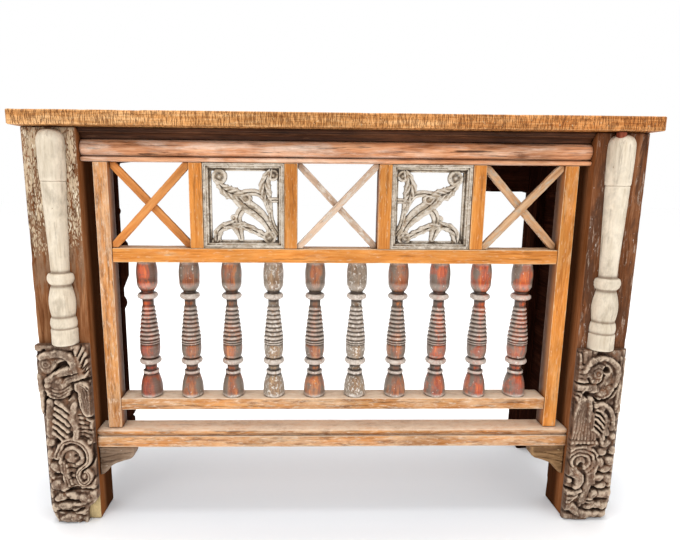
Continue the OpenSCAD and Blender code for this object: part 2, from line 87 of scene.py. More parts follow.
# ---------------------------------------------------------------- noise

def lattice(i, j, k, seed):
    """A repeatable random number from -1 to 1 at each whole-number point."""
    h = i * 374761393 + j * 668265263 + k * 1274126177 + seed * 1013904223
    h = (h ^ (h >> 13)) * 1103515245
    return ((h ^ (h >> 16)) & 0xFFFF) / 32767.5 - 1.0


def noise(points, size, seed=0):
    """Smooth noise from -1 to 1, with bumps about `size` across: one number, or one per axis."""
    p = np.asarray(points, float) / np.asarray(size, float)
    base = np.floor(p).astype(np.int64)
    f = p - base
    f = f * f * (3 - 2 * f)
    total = 0.0
    for corner in np.ndindex(2, 2, 2):
        weight = 1.0
        for axis in range(3):
            weight = weight * (f[..., axis] if corner[axis] else 1 - f[..., axis])
        total = total + weight * lattice(*(base[..., a] + corner[a] for a in range(3)), seed)
    return total


def fractal(points, size, seed=0, octaves=3):
    """Noise with finer and weaker noise on top, still within about -1 to 1."""
    size = np.asarray(size, float)
    total, weight = 0.0, 0.0
    for o in range(octaves):
        total = total + noise(points, size / 2 ** o, seed + 17 * o) / 2 ** o
        weight += 1 / 2 ** o
    return total / weight


def smoothstep(low, high, value):
    t = np.clip((value - low) / (high - low), 0, 1)
    return t * t * (3 - 2 * t)


# ---------------------------------------------------------------- materials

def linear(colour):
    """Linear RGBA from sRGB numbers between 0 and 255."""
    out = []
    for c in colour:
        c = c / 255
        out.append(c / 12.92 if c <= 0.04045 else ((c + 0.055) / 1.055) ** 2.4)
    return (*out, 1.0)


DIAGONAL = {"rising": math.radians(45), "falling": math.radians(-45)}


class Nodes:
    """A material's node tree, built one call per node. A call returns its output socket."""

    def __init__(self, name):
        self.material = bpy.data.materials.new(name)
        self.material.use_nodes = True
        self.tree = self.material.node_tree
        self.tree.nodes.clear()
        coords = self.tree.nodes.new("ShaderNodeTexCoord")
        self.object, self.normal = coords.outputs["Object"], coords.outputs["Normal"]

    def add(self, kind, inputs, out=0, **settings):
        node = self.tree.nodes.new("ShaderNode" + kind)
        for key, value in settings.items():
            setattr(node, key, value)
        for key, value in inputs.items():
            if isinstance(value, bpy.types.NodeSocket):
                self.tree.links.new(value, node.inputs[key])
            elif value is not None:
                node.inputs[key].default_value = value
        return node.outputs[out]

    def math(self, operation, a, b=0.5, clamp=False):
        return self.add("Math", {0: a, 1: b}, operation=operation, use_clamp=clamp)

    def mix(self, factor, a, b, blend="MIX"):
        return self.add("Mix", {0: factor, 6: a, 7: b}, 2, data_type="RGBA", blend_type=blend)

    def range(self, value, low, high, to_low=0.0, to_high=1.0):
        return self.add("MapRange", {0: value, 1: low, 2: high, 3: to_low, 4: to_high},
                        interpolation_type="SMOOTHSTEP")

    def stretched(self, along, ratio):
        """Coordinates that make a noise `ratio` times as long along one axis or diagonal."""
        vector, scale = self.object, [1.0, 1.0, 1.0]
        if along in DIAGONAL:
            turned = (0, DIAGONAL[along], 0)
            vector = self.add("Mapping", {"Vector": vector, "Rotation": turned})
            along = "X"
        if along:
            scale["XYZ".index(along)] = 1 / ratio
        return self.add("Mapping", {"Vector": vector, "Scale": scale})

    def noise(self, scale, detail=4.0, rough=0.55, along="", ratio=1.0, twist=0.0):
        return self.add("TexNoise", {
            "Vector": self.stretched(along, ratio), "Scale": scale, "Detail": detail,
            "Roughness": rough, "Distortion": twist})

    def ramp(self, value, stops):
        node = self.tree.nodes.new("ShaderNodeValToRGB")
        self.tree.links.new(value, node.inputs[0])
        while len(node.color_ramp.elements) < len(stops):
            node.color_ramp.elements.new(0.5)
        for element, (at, colour) in zip(node.color_ramp.elements, stops):
            element.position = at
            element.color = linear(colour)
        return node.outputs[0]

    def attribute(self, name):
        return self.add("Attribute", {}, "Fac", attribute_name=name)

    def axis(self, vector, letter):
        return self.add("SeparateXYZ", {"Vector": vector}, "XYZ".index(letter))

    def finish(self, colour, roughness, height, bump, coat=0.0, gloss=0.12):
        bumped = self.add("Bump", {"Strength": 1.0, "Distance": bump, "Height": height})
        shader = self.tree.nodes.new("ShaderNodeBsdfPrincipled")
        self.tree.links.new(colour, shader.inputs["Base Color"])
        self.tree.links.new(roughness, shader.inputs["Roughness"])
        self.tree.links.new(bumped, shader.inputs["Normal"])
        shader.inputs["Specular IOR Level"].default_value = 0.35 if coat else gloss
        shader.inputs["Coat Weight"].default_value = coat
        shader.inputs["Coat Roughness"].default_value = 0.22
        output = self.tree.nodes.new("ShaderNodeOutputMaterial")
        self.tree.links.new(shader.outputs[0], output.inputs[0])
        return self.material


def paint(colour, amount, size, ratio=2.0, edge=0.2, above=None, soft=0.02, strength=1.0,
          crackle=0.0):
    """A layer of old paint or haze: how much of the wood it covers, the size of its flakes, how
    long they are along the grain, how far worn edges have lost it, the heights it fades over,
    how soft its edges are, how opaque it is, and how far it has crackled."""
    return locals()


def timber(name, along, dark, mid, light, layers=(), dirt=(46, 28, 18), dirty=0.8, blotch=0.3,
           worn=None, edge=(0.15, 0.8), saw=0.0, rough=0.55, bump=0.7 * MM, faced=False,
           pores=0.5, coat=0.0, twist=0.3, dusty=None, turned=None, corner=0.8, gloss=0.12):
    """Old wood with streaky grain along one axis, worn edges, and painted shade darkening its
    hollows and the places where pieces meet, mixed with soiling.
    """
    n = Nodes(name)
    streaks = n.noise(60, 6, 0.68, along, 14, twist)
    fibres = n.noise(340, 3, 0.6, along, 16)
    clouds = n.noise(9, 4, 0.6, along, 2.0, 0.3)
    patch = n.noise(75, 5, 0.68, along, 1.6)
    figure = n.math("ADD", n.math("MULTIPLY", streaks, 0.6), n.math("MULTIPLY", fibres, 0.4))
    colour = n.ramp(figure, [(0.34, dark), (0.49, mid), (0.64, light)])
    shade = n.range(clouds, 0.32, 0.68, 1 - blotch, 1 + blotch * 0.5)
    colour = n.mix(1.0, colour, n.add("CombineColor", {0: shade, 1: shade, 2: shade}), "MULTIPLY")
    height = figure
    # dark pores and short cracks along the grain
    cracks = n.range(n.noise(120, 4, 0.72, along, 22, 0.2), 0.59, 0.66)
    colour = n.mix(n.math("MULTIPLY", cracks, pores), colour, linear(dirt))
    height = n.math("SUBTRACT", height, n.math("MULTIPLY", cracks, 0.9))
    if saw:
        upright = n.add("Mapping", {"Vector": n.object, "Scale": (1.0, 0.05, 0.11)})
        marks = n.add("TexNoise", {"Vector": upright, "Scale": 560, "Detail": 5.0,
                                   "Roughness": 0.75, "Distortion": 0.25})
        cuts = n.range(marks, 0.49, 0.60)
        colour = n.mix(n.math("MULTIPLY", cuts, saw), colour, linear(dirt))
        bright = n.range(marks, 0.44, 0.34)
        colour = n.mix(n.math("MULTIPLY", bright, saw * 0.6), colour, linear(light))
        height = n.math("SUBTRACT", height, n.math("MULTIPLY", cuts, 1.4))
        # richer towards the right-hand end
        rightward = n.range(n.axis(n.object, "X"), -0.1, 0.5, 0.0, 0.6)
        colour = n.mix(rightward, colour, linear((226, 190, 146)), "MULTIPLY")
    wear, cavity = n.attribute("wear"), n.attribute("cavity")
    depth, level = n.axis(n.object, "Y"), n.axis(n.object, "Z")
    facing = n.axis(n.normal, "Y")
    away = n.range(facing, -0.8, -0.4)
    roughness = n.range(patch, 0.3, 0.7, rough - 0.1, rough + 0.12)
    if turned:
        # grey on the sides and back of turnings is painted reflection, for the grey sheen of their
        # grazing sides, broken up by blotches of old grey paint
        blobs = n.noise(34, 3, 0.6, along, 1.5, 0.3)
        sides = n.math("ADD", n.range(facing, -0.99, -0.74), n.range(blobs, 0.40, 0.60, -0.5, 0.6))
        colour = n.mix(n.math("MULTIPLY", sides, 0.85, True), colour, linear(turned))
    for layer in layers:
        cover = n.noise(1 / layer["size"], 8, 0.7, along, layer["ratio"], 0.3)
        cover = n.math("SUBTRACT", cover, n.math("MULTIPLY", wear, layer["edge"]))
        if faced:
            cover = n.math("SUBTRACT", cover, n.math("MULTIPLY", away, 0.6))
        if layer["above"]:
            low, high = layer["above"]
            cover = n.math("SUBTRACT", cover, n.range(level, low, high, 0.4, 0.0))
        if layer["crackle"]:
            flakes = n.add("TexVoronoi", {"Vector": n.stretched(along, 4.0), "Scale": 300.0,
                                          "Detail": 1.0}, "Distance", feature="DISTANCE_TO_EDGE")
            cover = n.math("SUBTRACT", cover, n.range(flakes, 0.0, 0.22, layer["crackle"], 0.0))
        bare = 0.5 - (layer["amount"] - 0.5) * 0.5
        mask = n.range(cover, bare - layer["soft"], bare + layer["soft"])
        mask = n.math("MULTIPLY", mask, layer["strength"])
        tint = n.mix(n.range(patch, 0.35, 0.65), linear(layer["colour"]),
                     linear([c * 0.88 for c in layer["colour"]]))
        colour = n.mix(mask, colour, tint)
        height = n.math("ADD", height, n.math("MULTIPLY", mask, 0.5))
        roughness = n.math("ADD", roughness, n.math("MULTIPLY", mask, 0.1), True)
    if dusty:
        top_side = n.range(n.axis(n.normal, "Z"), 0.2, 0.75)
        film = n.math("MULTIPLY", top_side, n.range(patch, 0.3, 0.65, 0.45, 0.9), True)
        colour = n.mix(film, colour, linear(dusty))
    if faced:
        # the sides have no paint, and towards the back they take painted shade, darkest deep beside
        # the railing
        colour = n.mix(n.math("MULTIPLY", away, 0.5), colour, linear((140, 84, 44)))
        sheltered = n.range(depth, FRONT_Y + 14 * MM, FRONT_Y + 42 * MM, 0.0, 0.86)
        colour = n.mix(n.math("MULTIPLY", sheltered, away), colour, linear((44, 22, 11)))
    rubbed = n.math("MULTIPLY", wear, n.range(patch, 0.36, 0.6, *edge), True)
    colour = n.mix(rubbed, colour, linear(worn or light))
    # painted shade where pieces meet and in the hollows of each piece (ambient occlusion and the
    # cavity map), standing in also for soiling
    closed = n.add("AmbientOcclusion", {"Distance": 22 * MM}, "AO", samples=6)
    grime = n.math("MAXIMUM", cavity, n.range(closed, 0.62, 0.18, 0.0, corner))
    grime = n.math("MULTIPLY", grime, n.range(patch, 0.3, 0.75, dirty, dirty * 0.75), True)
    colour = n.mix(grime, colour, linear(dirt))
    return n.finish(colour, roughness, height, bump, coat, gloss)


def steel(name):
    n = Nodes(name)
    scratch = n.noise(900, 3, 0.6, "Z", 6)
    colour = n.ramp(scratch, [(0.3, (88, 88, 90)), (0.7, (150, 150, 152))])
    material = n.finish(colour, n.range(scratch, 0.3, 0.7, 0.35, 0.55), scratch, 0.05 * MM)
    material.node_tree.nodes["Principled BSDF"].inputs["Metallic"].default_value = 1.0
    return material


# ---------------------------------------------------------------- meshes

def piece(node, verts, faces, material, wear=None, cavity=None, sharp=38):
    """Makes the mesh that stands for a CAD node, closed and facing outwards."""
    mesh = bpy.data.meshes.new(node + "_look")
    mesh.from_pydata(np.asarray(verts).tolist(), [], faces)
    mesh.update()
    mesh.calc_loop_triangles()
    tri = np.empty(len(mesh.loop_triangles) * 3, np.int32)
    mesh.loop_triangles.foreach_get("vertices", tri)
    a, b, c = np.asarray(verts)[tri.reshape(-1, 3)].transpose(1, 0, 2)
    if np.einsum("ij,ij->i", a, np.cross(b, c)).sum() < 0:
        mesh.flip_normals()
    mesh.shade_smooth()
    mesh.set_sharp_from_angle(angle=math.radians(sharp))
    for label, values in (("wear", wear), ("cavity", cavity)):
        if values is not None:
            layer = mesh.attributes.new(label, "FLOAT", "POINT")
            layer.data.foreach_set("value", np.clip(values, 0, 1).astype(np.float32))
    mesh.materials.append(material)
    obj = bpy.data.objects.new(mesh.name, mesh)
    bpy.context.scene.collection.objects.link(obj)
    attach(obj, "root")
    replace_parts(obj, node)
    return obj


SLOT = {part["node"]: part["material_slot"] for part in frame["record"]["subparts"]}


def eased(points, radius, spacing):
    """A closed outline with its corners rounded and points along its sides.

    Returns the points, and how exposed (convex) and how sheltered (concave) each one is.
    """
    points = [np.array(p, float) for p in points]
    count = len(points)
    corners = []
    for i, p in enumerate(points):
        before, after = points[i - 1], points[(i + 1) % count]
        len_in, len_out = np.linalg.norm(p - before), np.linalg.norm(after - p)
        d_in, d_out = (p - before) / len_in, (after - p) / len_out
        turn = math.atan2(d_in[0] * d_out[1] - d_in[1] * d_out[0], d_in @ d_out)
        if abs(turn) < 0.35:
            corners.append([(p, 0.0, 0.0)])
            continue
        r = min(radius, 0.45 * len_in, 0.45 * len_out)
        bend = []
        for t in (0, 0.25, 0.5, 0.75, 1):
            at = (p - d_in * r) * (1 - t) ** 2 + p * 2 * t * (1 - t) + (p + d_out * r) * t * t
            middle = 1 - abs(2 * t - 1)
            bend.append((at, middle if turn > 0 else 0.0,
                         0.4 + 0.6 * middle if turn < 0 else 0.0))
        corners.append(bend)
    out = []
    for i, bend in enumerate(corners):
        out += bend
        start, stop = bend[-1][0], corners[(i + 1) % count][0][0]
        n = int(np.linalg.norm(stop - start) / spacing)
        out += [(start + (stop - start) * k / (n + 1), 0.0, 0.0) for k in range(1, n + 1)]
    return (np.array([o[0] for o in out]), np.array([o[1] for o in out]),
            np.array([o[2] for o in out]))


def arc(cy, cz, radius, start, stop, n=9):
    """Points on a circle, from one angle in degrees to another."""
    return [(cy + radius * math.cos(math.radians(a)), cz + radius * math.sin(math.radians(a)))
            for a in np.linspace(start, stop, n)]


def bar(node, outline, start, stop, axis, radius=2.5 * MM, step=6 * MM, spacing=7 * MM,
        nick=1.5 * MM, rough=0.25 * MM, bow=0.5 * MM, seed=1, shape=None, grain=None):
    """A bar: the outline, seen along the axis, drawn out from start to stop and weathered.

    The wear only takes wood away, so the bar stays inside its outline. The grain runs along
    the bar unless another axis is given.
    """
    section, wear2, cavity2 = eased(outline, radius, spacing)
    tangent = np.roll(section, -1, 0) - np.roll(section, 1, 0)
    normal2 = np.stack([tangent[:, 1], -tangent[:, 0]], 1)
    normal2 /= np.linalg.norm(normal2, axis=1)[:, None]
    length = stop - start
    inner = np.linspace(start + radius, stop - radius, max(3, int(length / step)))
    along = np.concatenate([[start, start + radius * 0.4], inner, [stop - radius * 0.4, stop]])
    inset = np.full(len(along), 0.0)
    inset[[0, -1]], inset[[1, -2]] = radius * 0.9, radius * 0.3
    a = along[:, None, None]
    ring = section[None] - normal2[None] * inset[:, None, None]
    order = {"X": (2, 0, 1), "Y": (1, 2, 0), "Z": (0, 1, 2)}[axis]
    stacked = np.concatenate([ring, np.broadcast_to(a, ring.shape[:2] + (1,))], 2)
    verts = stacked[..., order]
    normal3 = np.concatenate([np.broadcast_to(normal2, ring.shape),
                              np.zeros(ring.shape[:2] + (1,))], 2)[..., order]
    stretch = np.array([1.0, 1.0, 1.0])
    stretch["XYZ".index(axis)] = 9.0
    surface = (fractal(verts, 14 * MM * stretch, seed) - 1) * 0.5 * rough
    surface += (noise(verts, 90 * MM * stretch ** 0.5, seed + 5) - 1) * 0.5 * bow
    edge = np.broadcast_to(wear2, ring.shape[:2]).copy()
    edge[[0, -1]] = np.maximum(edge[[0, -1]], 0.7)
    chips = smoothstep(0.12, 0.75, fractal(verts, 16 * MM * np.sqrt(stretch), seed + 9))
    near = np.maximum(edge, 0.6 * np.maximum(np.roll(edge, 1, 1), np.roll(edge, -1, 1)))
    push = surface - nick * chips * near
    verts = verts + normal3 * push[..., None]
    if shape is not None:
        verts = shape(verts)
    rows, cols = ring.shape[:2]
    index = np.arange(rows * cols).reshape(rows, cols)
    quads = np.stack([index[:-1], np.roll(index, -1, 1)[:-1], np.roll(index, -1, 1)[1:],
                      index[1:]], -1).reshape(-1, 4).tolist()
    faces = quads + [index[0, ::-1].tolist(), index[-1].tolist()]
    wear = np.clip(edge * (0.55 + 0.45 * chips) + 0.25 * chips * near, 0, 1)
    cavity = np.broadcast_to(cavity2, ring.shape[:2])
    material = finish_of(node, grain or axis)
    return piece(node, verts.reshape(-1, 3), faces, material, wear.ravel(), cavity.ravel())


def box_outline(a0, a1, b0, b1):
    return [(a0, b0), (a1, b0), (a1, b1), (a0, b1)]


def box_bar(node, axis, start=None, stop=None, **more):
    """A bar whose square section fills its node's box, over the box's length or a given one."""
    at = Place(node)
    x, y, z = (at.x0, at.x1), (at.y0, at.y1), (at.z0, at.z1)
    own, across, up = {"X": (x, y, z), "Y": (y, z, x), "Z": (z, x, y)}[axis]
    first, last = own if start is None else (start, stop)
    return bar(node, box_outline(*across, *up), first, last, axis, **more)


def dense(profile, spacing, blur):
    """A turning's profile with even points, and its corners worn round."""
    p = np.array(profile, float)
    length = np.concatenate([[0], np.cumsum(np.linalg.norm(np.diff(p, axis=0), axis=1))])
    t = np.linspace(0, length[-1], int(length[-1] / spacing) + 2)
    q = np.stack([np.interp(t, length, p[:, i]) for i in (0, 1)], 1)
    for _ in range(blur):
        q[1:-1] = (q[:-2] + 2 * q[1:-1] + q[2:]) / 4
    return q


def swell(r0, z0, r1, z1, amount, n=8):
    """Curve between two points of a profile that bulges by an amount."""
    return [(r0 + (r1 - r0) * t + amount * math.sin(math.pi * t), z0 + (z1 - z0) * t)
            for t in np.linspace(0, 1, n + 1)]


def turning(node, profile, cx, cy, z0, half=False, facing=0.0, segments=56, nick=0.8 * MM,
            rough=0.25 * MM, seed=1, blur=2):
    """A piece turned on a lathe. A half turning is flat at the back; facing is where its
    round side looks, in degrees from the front."""
    q = dense(profile, 1.3 * MM, blur)
    heights = np.convolve(np.pad(q[:, 0], 6, "edge"), np.ones(13) / 13, "valid")
    proud = (q[:, 0] - heights) / (1.2 * MM)
    if half:
        theta = np.linspace(math.pi, 2 * math.pi, segments // 2 + 1) + math.radians(facing)
    else:
        theta = np.linspace(0, 2 * math.pi, segments, endpoint=False)
    r = np.broadcast_to(q[:, :1], (len(q), len(theta)))
    z = np.broadcast_to(q[:, 1:] + z0, r.shape)
    out = np.stack([np.cos(theta), np.sin(theta)], 1)
    verts = np.stack([cx + r * out[:, 0], cy + r * out[:, 1], z], -1)
    wear2 = np.broadcast_to(np.clip(proud, 0, 1)[:, None], r.shape)
    chips = smoothstep(0.15, 0.8, fractal(verts, (13 * MM, 13 * MM, 9 * MM), seed))
    push = (fractal(verts, (9 * MM, 9 * MM, 22 * MM), seed + 3) - 1) * 0.5 * rough
    push = push - nick * chips * (0.15 + wear2)
    new_r = np.maximum(r + push, 0)
    verts[..., 0], verts[..., 1] = cx + new_r * out[:, 0], cy + new_r * out[:, 1]
    rows, cols = r.shape
    index = np.arange(rows * cols).reshape(rows, cols)
    if half:
        quads = np.stack([index[:-1, :-1], index[:-1, 1:], index[1:, 1:], index[1:, :-1]], -1)
        back = [[int(index[i, 0]), int(index[i + 1, 0]), int(index[i + 1, -1]),
                 int(index[i, -1])] for i in range(rows - 1)]
        caps = [index[0, ::-1].tolist(), index[-1].tolist()]
        faces = quads.reshape(-1, 4).tolist() + back + caps
    else:
        quads = np.stack([index[:-1], np.roll(index, -1, 1)[:-1], np.roll(index, -1, 1)[1:],
                          index[1:]], -1)
        faces = quads.reshape(-1, 4).tolist() + [index[0, ::-1].tolist(), index[-1].tolist()]
    cavity = np.broadcast_to(np.clip(-proud * 1.2, 0, 1)[:, None], r.shape)
    wear = np.clip(wear2 * (0.7 + 0.6 * chips), 0, 1)
    material = finish_of(node, "Z")
    return piece(node, verts.reshape(-1, 3), faces, material, wear.ravel(), cavity.ravel(), 50)


# ---------------------------------------------------------------- carved boards

GRID = 0.8 * MM


class Board:
    """A board seen from the front, as two maps on one grid: `inside` is the distance in from
    its outline, and `height` is how far its front stands out from its back.

    Strokes are placed by per cent of the board's width (u, from the left) and height (v, up).
    Their widths, levels and depths are millimetres.
    """

    def __init__(self, width, height, step):
        self.w, self.h, self.step = width, height, step
        nx, nz = int(round(width / step)) + 1, int(round(height / step)) + 1
        self.x, self.z = np.meshgrid(np.linspace(0, width, nx), np.linspace(0, height, nz),
                                     indexing="ij")
        self.inside = np.minimum(np.minimum(self.x, width - self.x),
                                 np.minimum(self.z, height - self.z)) + 1e-6
        self.height = np.zeros_like(self.x)
        self.wx, self.wz = self.x, self.z

    def waver(self, amount, size, seed):
        """Makes every later stroke's edge wander, as a hand-led chisel does."""
        points = np.stack([self.x, self.z, np.zeros_like(self.x)], -1)
        self.wx = self.x + amount * fractal(points, size, seed, 2)
        self.wz = self.z + amount * fractal(points, size, seed + 7, 2)

    def path(self, points, n=8):
        """A smooth curve through points given as (u, v)."""
        p = np.array(points, float) / 100 * (self.w, self.h)
        if len(p) < 3:
            return p
        p = np.vstack([2 * p[0] - p[1], p, 2 * p[-1] - p[-2]])
        out = []
        for i in range(1, len(p) - 2):
            for t in np.linspace(0, 1, n, endpoint=False):
                out.append(0.5 * (2 * p[i] + (p[i + 1] - p[i - 1]) * t
                                  + (2 * p[i - 1] - 5 * p[i] + 4 * p[i + 1] - p[i + 2]) * t ** 2
                                  + (3 * p[i] - p[i - 1] - 3 * p[i + 1] + p[i + 2]) * t ** 3))
        return np.array(out + [p[-2]])

    def window(self, path, reach):
        """The part of the grid within reach of a path."""
        nx, nz = self.x.shape
        (i0, j0), (i1, j1) = ((path.min(0) - reach) / self.step, (path.max(0) + reach) / self.step)
        return (slice(max(int(i0), 0), min(max(int(i1) + 2, 1), nx)),
                slice(max(int(j0), 0), min(max(int(j1) + 2, 1), nz)))

    def measure(self, path, part=(slice(None), slice(None))):
        """Distance from the path, share of the way along it, and distance with its side."""
        x, z = self.wx[part], self.wz[part]
        lengths = np.linalg.norm(np.diff(path, axis=0), axis=1)
        best = np.full(x.shape, 1e9)
        share, side = np.zeros_like(best), np.zeros_like(best)
        done = 0.0
        for a, b, length in zip(path[:-1], path[1:], lengths):
            if length > 1e-9:
                d = (b - a) / length
                t = np.clip((x - a[0]) * d[0] + (z - a[1]) * d[1], 0, length)
                dx, dz = x - a[0] - t * d[0], z - a[1] - t * d[1]
                dist = np.hypot(dx, dz)
                closer = dist < best
                best = np.where(closer, dist, best)
                share = np.where(closer, (done + t) / lengths.sum(), share)
                side = np.where(closer, np.sign(d[0] * dz - d[1] * dx), side)
                done += length
        return best, share, side * best

    def merge(self, part, level):
        """Raises part of the front to a level, with a soft join where the two meet."""
        now, soft = self.height[part], 1.6 * MM
        near = np.clip(soft - np.abs(now - level), 0, None)
        self.height[part] = np.maximum(now, level) + near ** 2 / (4 * soft)

    def ridge(self, points, width, level, taper=(1, 1), drop=0.45):
        """A rounded ridge along a curve whose crest stands at a level."""
        path, width, level = self.path(points), width * MM, level * MM
        part = self.window(path, width / 2 * max(taper) + 3 * MM)
        dist, share, _ = self.measure(path, part)
        half = width / 2 * (taper[0] + (taper[1] - taper[0]) * share)
        t = dist / np.maximum(half, 1e-6)
        crest = level - drop * half * (1 - np.sqrt(np.clip(1 - t * t, 0, 1)))
        self.merge(part, np.where(t < 1, crest, level - drop * half - (t - 1) * 5 * half))

    def groove(self, points, width, depth, taper=(1, 1)):
        """A rounded cut along a curve, down by a depth."""
        path, width, depth = self.path(points), width * MM, depth * MM
        part = self.window(path, width / 2 * max(taper))
        dist, share, _ = self.measure(path, part)
        half = width / 2 * (taper[0] + (taper[1] - taper[0]) * share)
        t = np.clip(dist / np.maximum(half, 1e-6), 0, 1)
        self.height[part] -= depth * (1 - t ** 1.6)

    def fan(self, make, first, last, count, *settings, **more):
        """Ridges or grooves spread evenly between two guide curves with as many points."""
        first, last = np.array(first, float), np.array(last, float)
        for s in np.linspace(0, 1, count):
            make(first * (1 - s) + last * s, *settings, **more)

    def oval(self, u, v, across, up, lean):
        """Part of the grid round a point, and the distance from it as a share of an oval."""
        cx, cz = u / 100 * self.w, v / 100 * self.h
        part = self.window(np.array([[cx, cz]]), 1.3 * max(across, up))
        dx, dz = self.wx[part] - cx, self.wz[part] - cz
        a = math.radians(lean)
        dx, dz = dx * math.cos(a) + dz * math.sin(a), dz * math.cos(a) - dx * math.sin(a)
        return part, np.hypot(dx / across, dz / up)

    def mound(self, u, v, across, up, level, lean=0.0, drop=0.6):
        """An oval dome whose middle stands at a level."""
        across, up, level = across * MM, up * MM, level * MM
        part, t = self.oval(u, v, across, up, lean)
        fall = drop * min(across, up)
        crest = level - fall * (1 - np.sqrt(np.clip(1 - t * t, 0, 1)))
        self.merge(part, np.where(t < 1, crest, level - fall - (t - 1) * 3 * min(across, up)))

    def hollow(self, u, v, across, up, depth, lean=0.0):
        """An oval hollow, down by a depth."""
        part, t = self.oval(u, v, across * MM, up * MM, lean)
        self.height[part] -= depth * MM * (1 - np.clip(t, 0, 1) ** 2.5)

    def rings(self, u, v, radius, count, cut):
        """Ring grooves round a point, out to a radius."""
        part, t = self.oval(u, v, radius * MM, radius * MM, 0)
        wave = (0.5 - 0.5 * np.cos(2 * np.pi * count * t)) ** 2
        self.height[part] -= np.where(t < 1, cut * MM * wave, 0)

    def weather(self, coarse, fine, seed):
        """Takes uneven wear off the front."""
        points = np.stack([self.x, self.z, np.zeros_like(self.x)], -1)
        self.height = self.height + coarse * MM * fractal(points, 16 * MM, seed)
        self.height = self.height + fine * MM * fractal(points, 4 * MM, seed + 31)


def blurred(values, radius):
    """Average over a square neighbourhood, three times over."""
    for _ in range(3):
        for axis in (0, 1):
            padded = np.pad(values, [(radius + 1, radius) if a == axis else (0, 0)
                                     for a in (0, 1)], "edge")
            total = np.cumsum(padded, axis)
            n = 2 * radius + 1
            values = (np.take(total, range(n, total.shape[axis]), axis)
                      - np.take(total, range(total.shape[axis] - n), axis)) / n
    return values


def carved(node, board, along="X", round_over=1.5 * MM, cavity_scale=2.5 * MM, mirrored=False):
    """Turns a board's maps into a closed mesh that stands on the back of its node's box."""
    at, thinnest = Place(node), 2 * MM
    s = board.inside
    lip = np.clip(s / round_over, 0, 1)
    height = board.height - round_over * (1 - np.sqrt(np.clip(1 - (1 - lip) ** 2, 0, 1)))
    height = np.maximum(height, thinnest)
    soft = blurred(np.where(s > 0, height, height * 0.6), max(1, int(4 * MM / board.step)))
    relief = (height - soft) / cavity_scale
    nx, nz = s.shape
    full = s > 0
    vert, number = [], {}
    fields = (board.x, board.z, height, relief)

    def corner(i, j):
        key = (i, j)
        if key not in number:
            number[key] = len(vert)
            vert.append([f[i, j] for f in fields])
        return number[key]

    def crossing(i, j, k, l):
        key = (i, j, k, l) if (i, j) < (k, l) else (k, l, i, j)
        if key not in number:
            t = s[i, j] / (s[i, j] - s[k, l])
            number[key] = len(vert)
            vert.append([f[i, j] * (1 - t) + f[k, l] * t for f in fields])
        return number[key]

    front = []
    whole = full[:-1, :-1] & full[1:, :-1] & full[1:, 1:] & full[:-1, 1:]
    some = full[:-1, :-1] | full[1:, :-1] | full[1:, 1:] | full[:-1, 1:]
    for i, j in zip(*np.nonzero(some)):
        cell = [(i, j), (i + 1, j), (i + 1, j + 1), (i, j + 1)]
        if whole[i, j]:
            front.append([corner(*c) for c in cell])
            continue
        loop = []
        for a, b in zip(cell, cell[1:] + cell[:1]):
            if full[a]:
                loop.append(corner(*a))
            if full[a] != full[b]:
                loop.append(crossing(*a, *b))
        if len(loop) > 2:
            front.append(loop)
    edges = {edge: True for loop in front for edge in zip(loop, loop[1:] + loop[:1])}
    rim = [(a, b) for a, b in edges if (b, a) not in edges]
    data = np.array(vert)
    x = board.w - data[:, 0] if mirrored else data[:, 0]
    count = len(data)
    flat = np.stack([at.x0 + x, np.full(count, at.y1), at.z0 + data[:, 1]], 1)
    proud = flat.copy()
    proud[:, 1] = at.y1 - data[:, 2]
    faces = front + [[v + count for v in loop[::-1]] for loop in front]
    faces += [[b, a, a + count, b + count] for a, b in rim]
    relief = data[:, 3]
    wear = np.concatenate([np.clip(relief, 0, 1), np.zeros(count)])
    cavity = np.concatenate([np.clip(-relief, 0, 1), np.zeros(count)])
    verts = np.vstack([proud, flat])
    return piece(node, verts, faces, finish_of(node, along), wear, cavity, 50)


# ---------------------------------------------------------------- the finishes

RING = (212, 198, 186)


def turned_wood(dark, mid, light, grey, specks=0.12):
    """Waxed turnings: bare on their bulbs, with old grey and pale paint on rings and ribs, and grey
    painted reflection on their sides.
    """
    return dict(dark=dark, mid=mid, light=light, turned=grey, layers=[
        paint(grey, 0.30, 0.010, 2.0, -0.1, soft=0.05, strength=0.85),
        paint((230, 220, 208), specks, 0.005, 1.4, -0.12)],
        dirt=(50, 36, 28), dirty=1.0, worn=RING, edge=(0.65, 1.1), rough=0.42, coat=0.12,
        blotch=0.35, pores=0.45, corner=0.9)


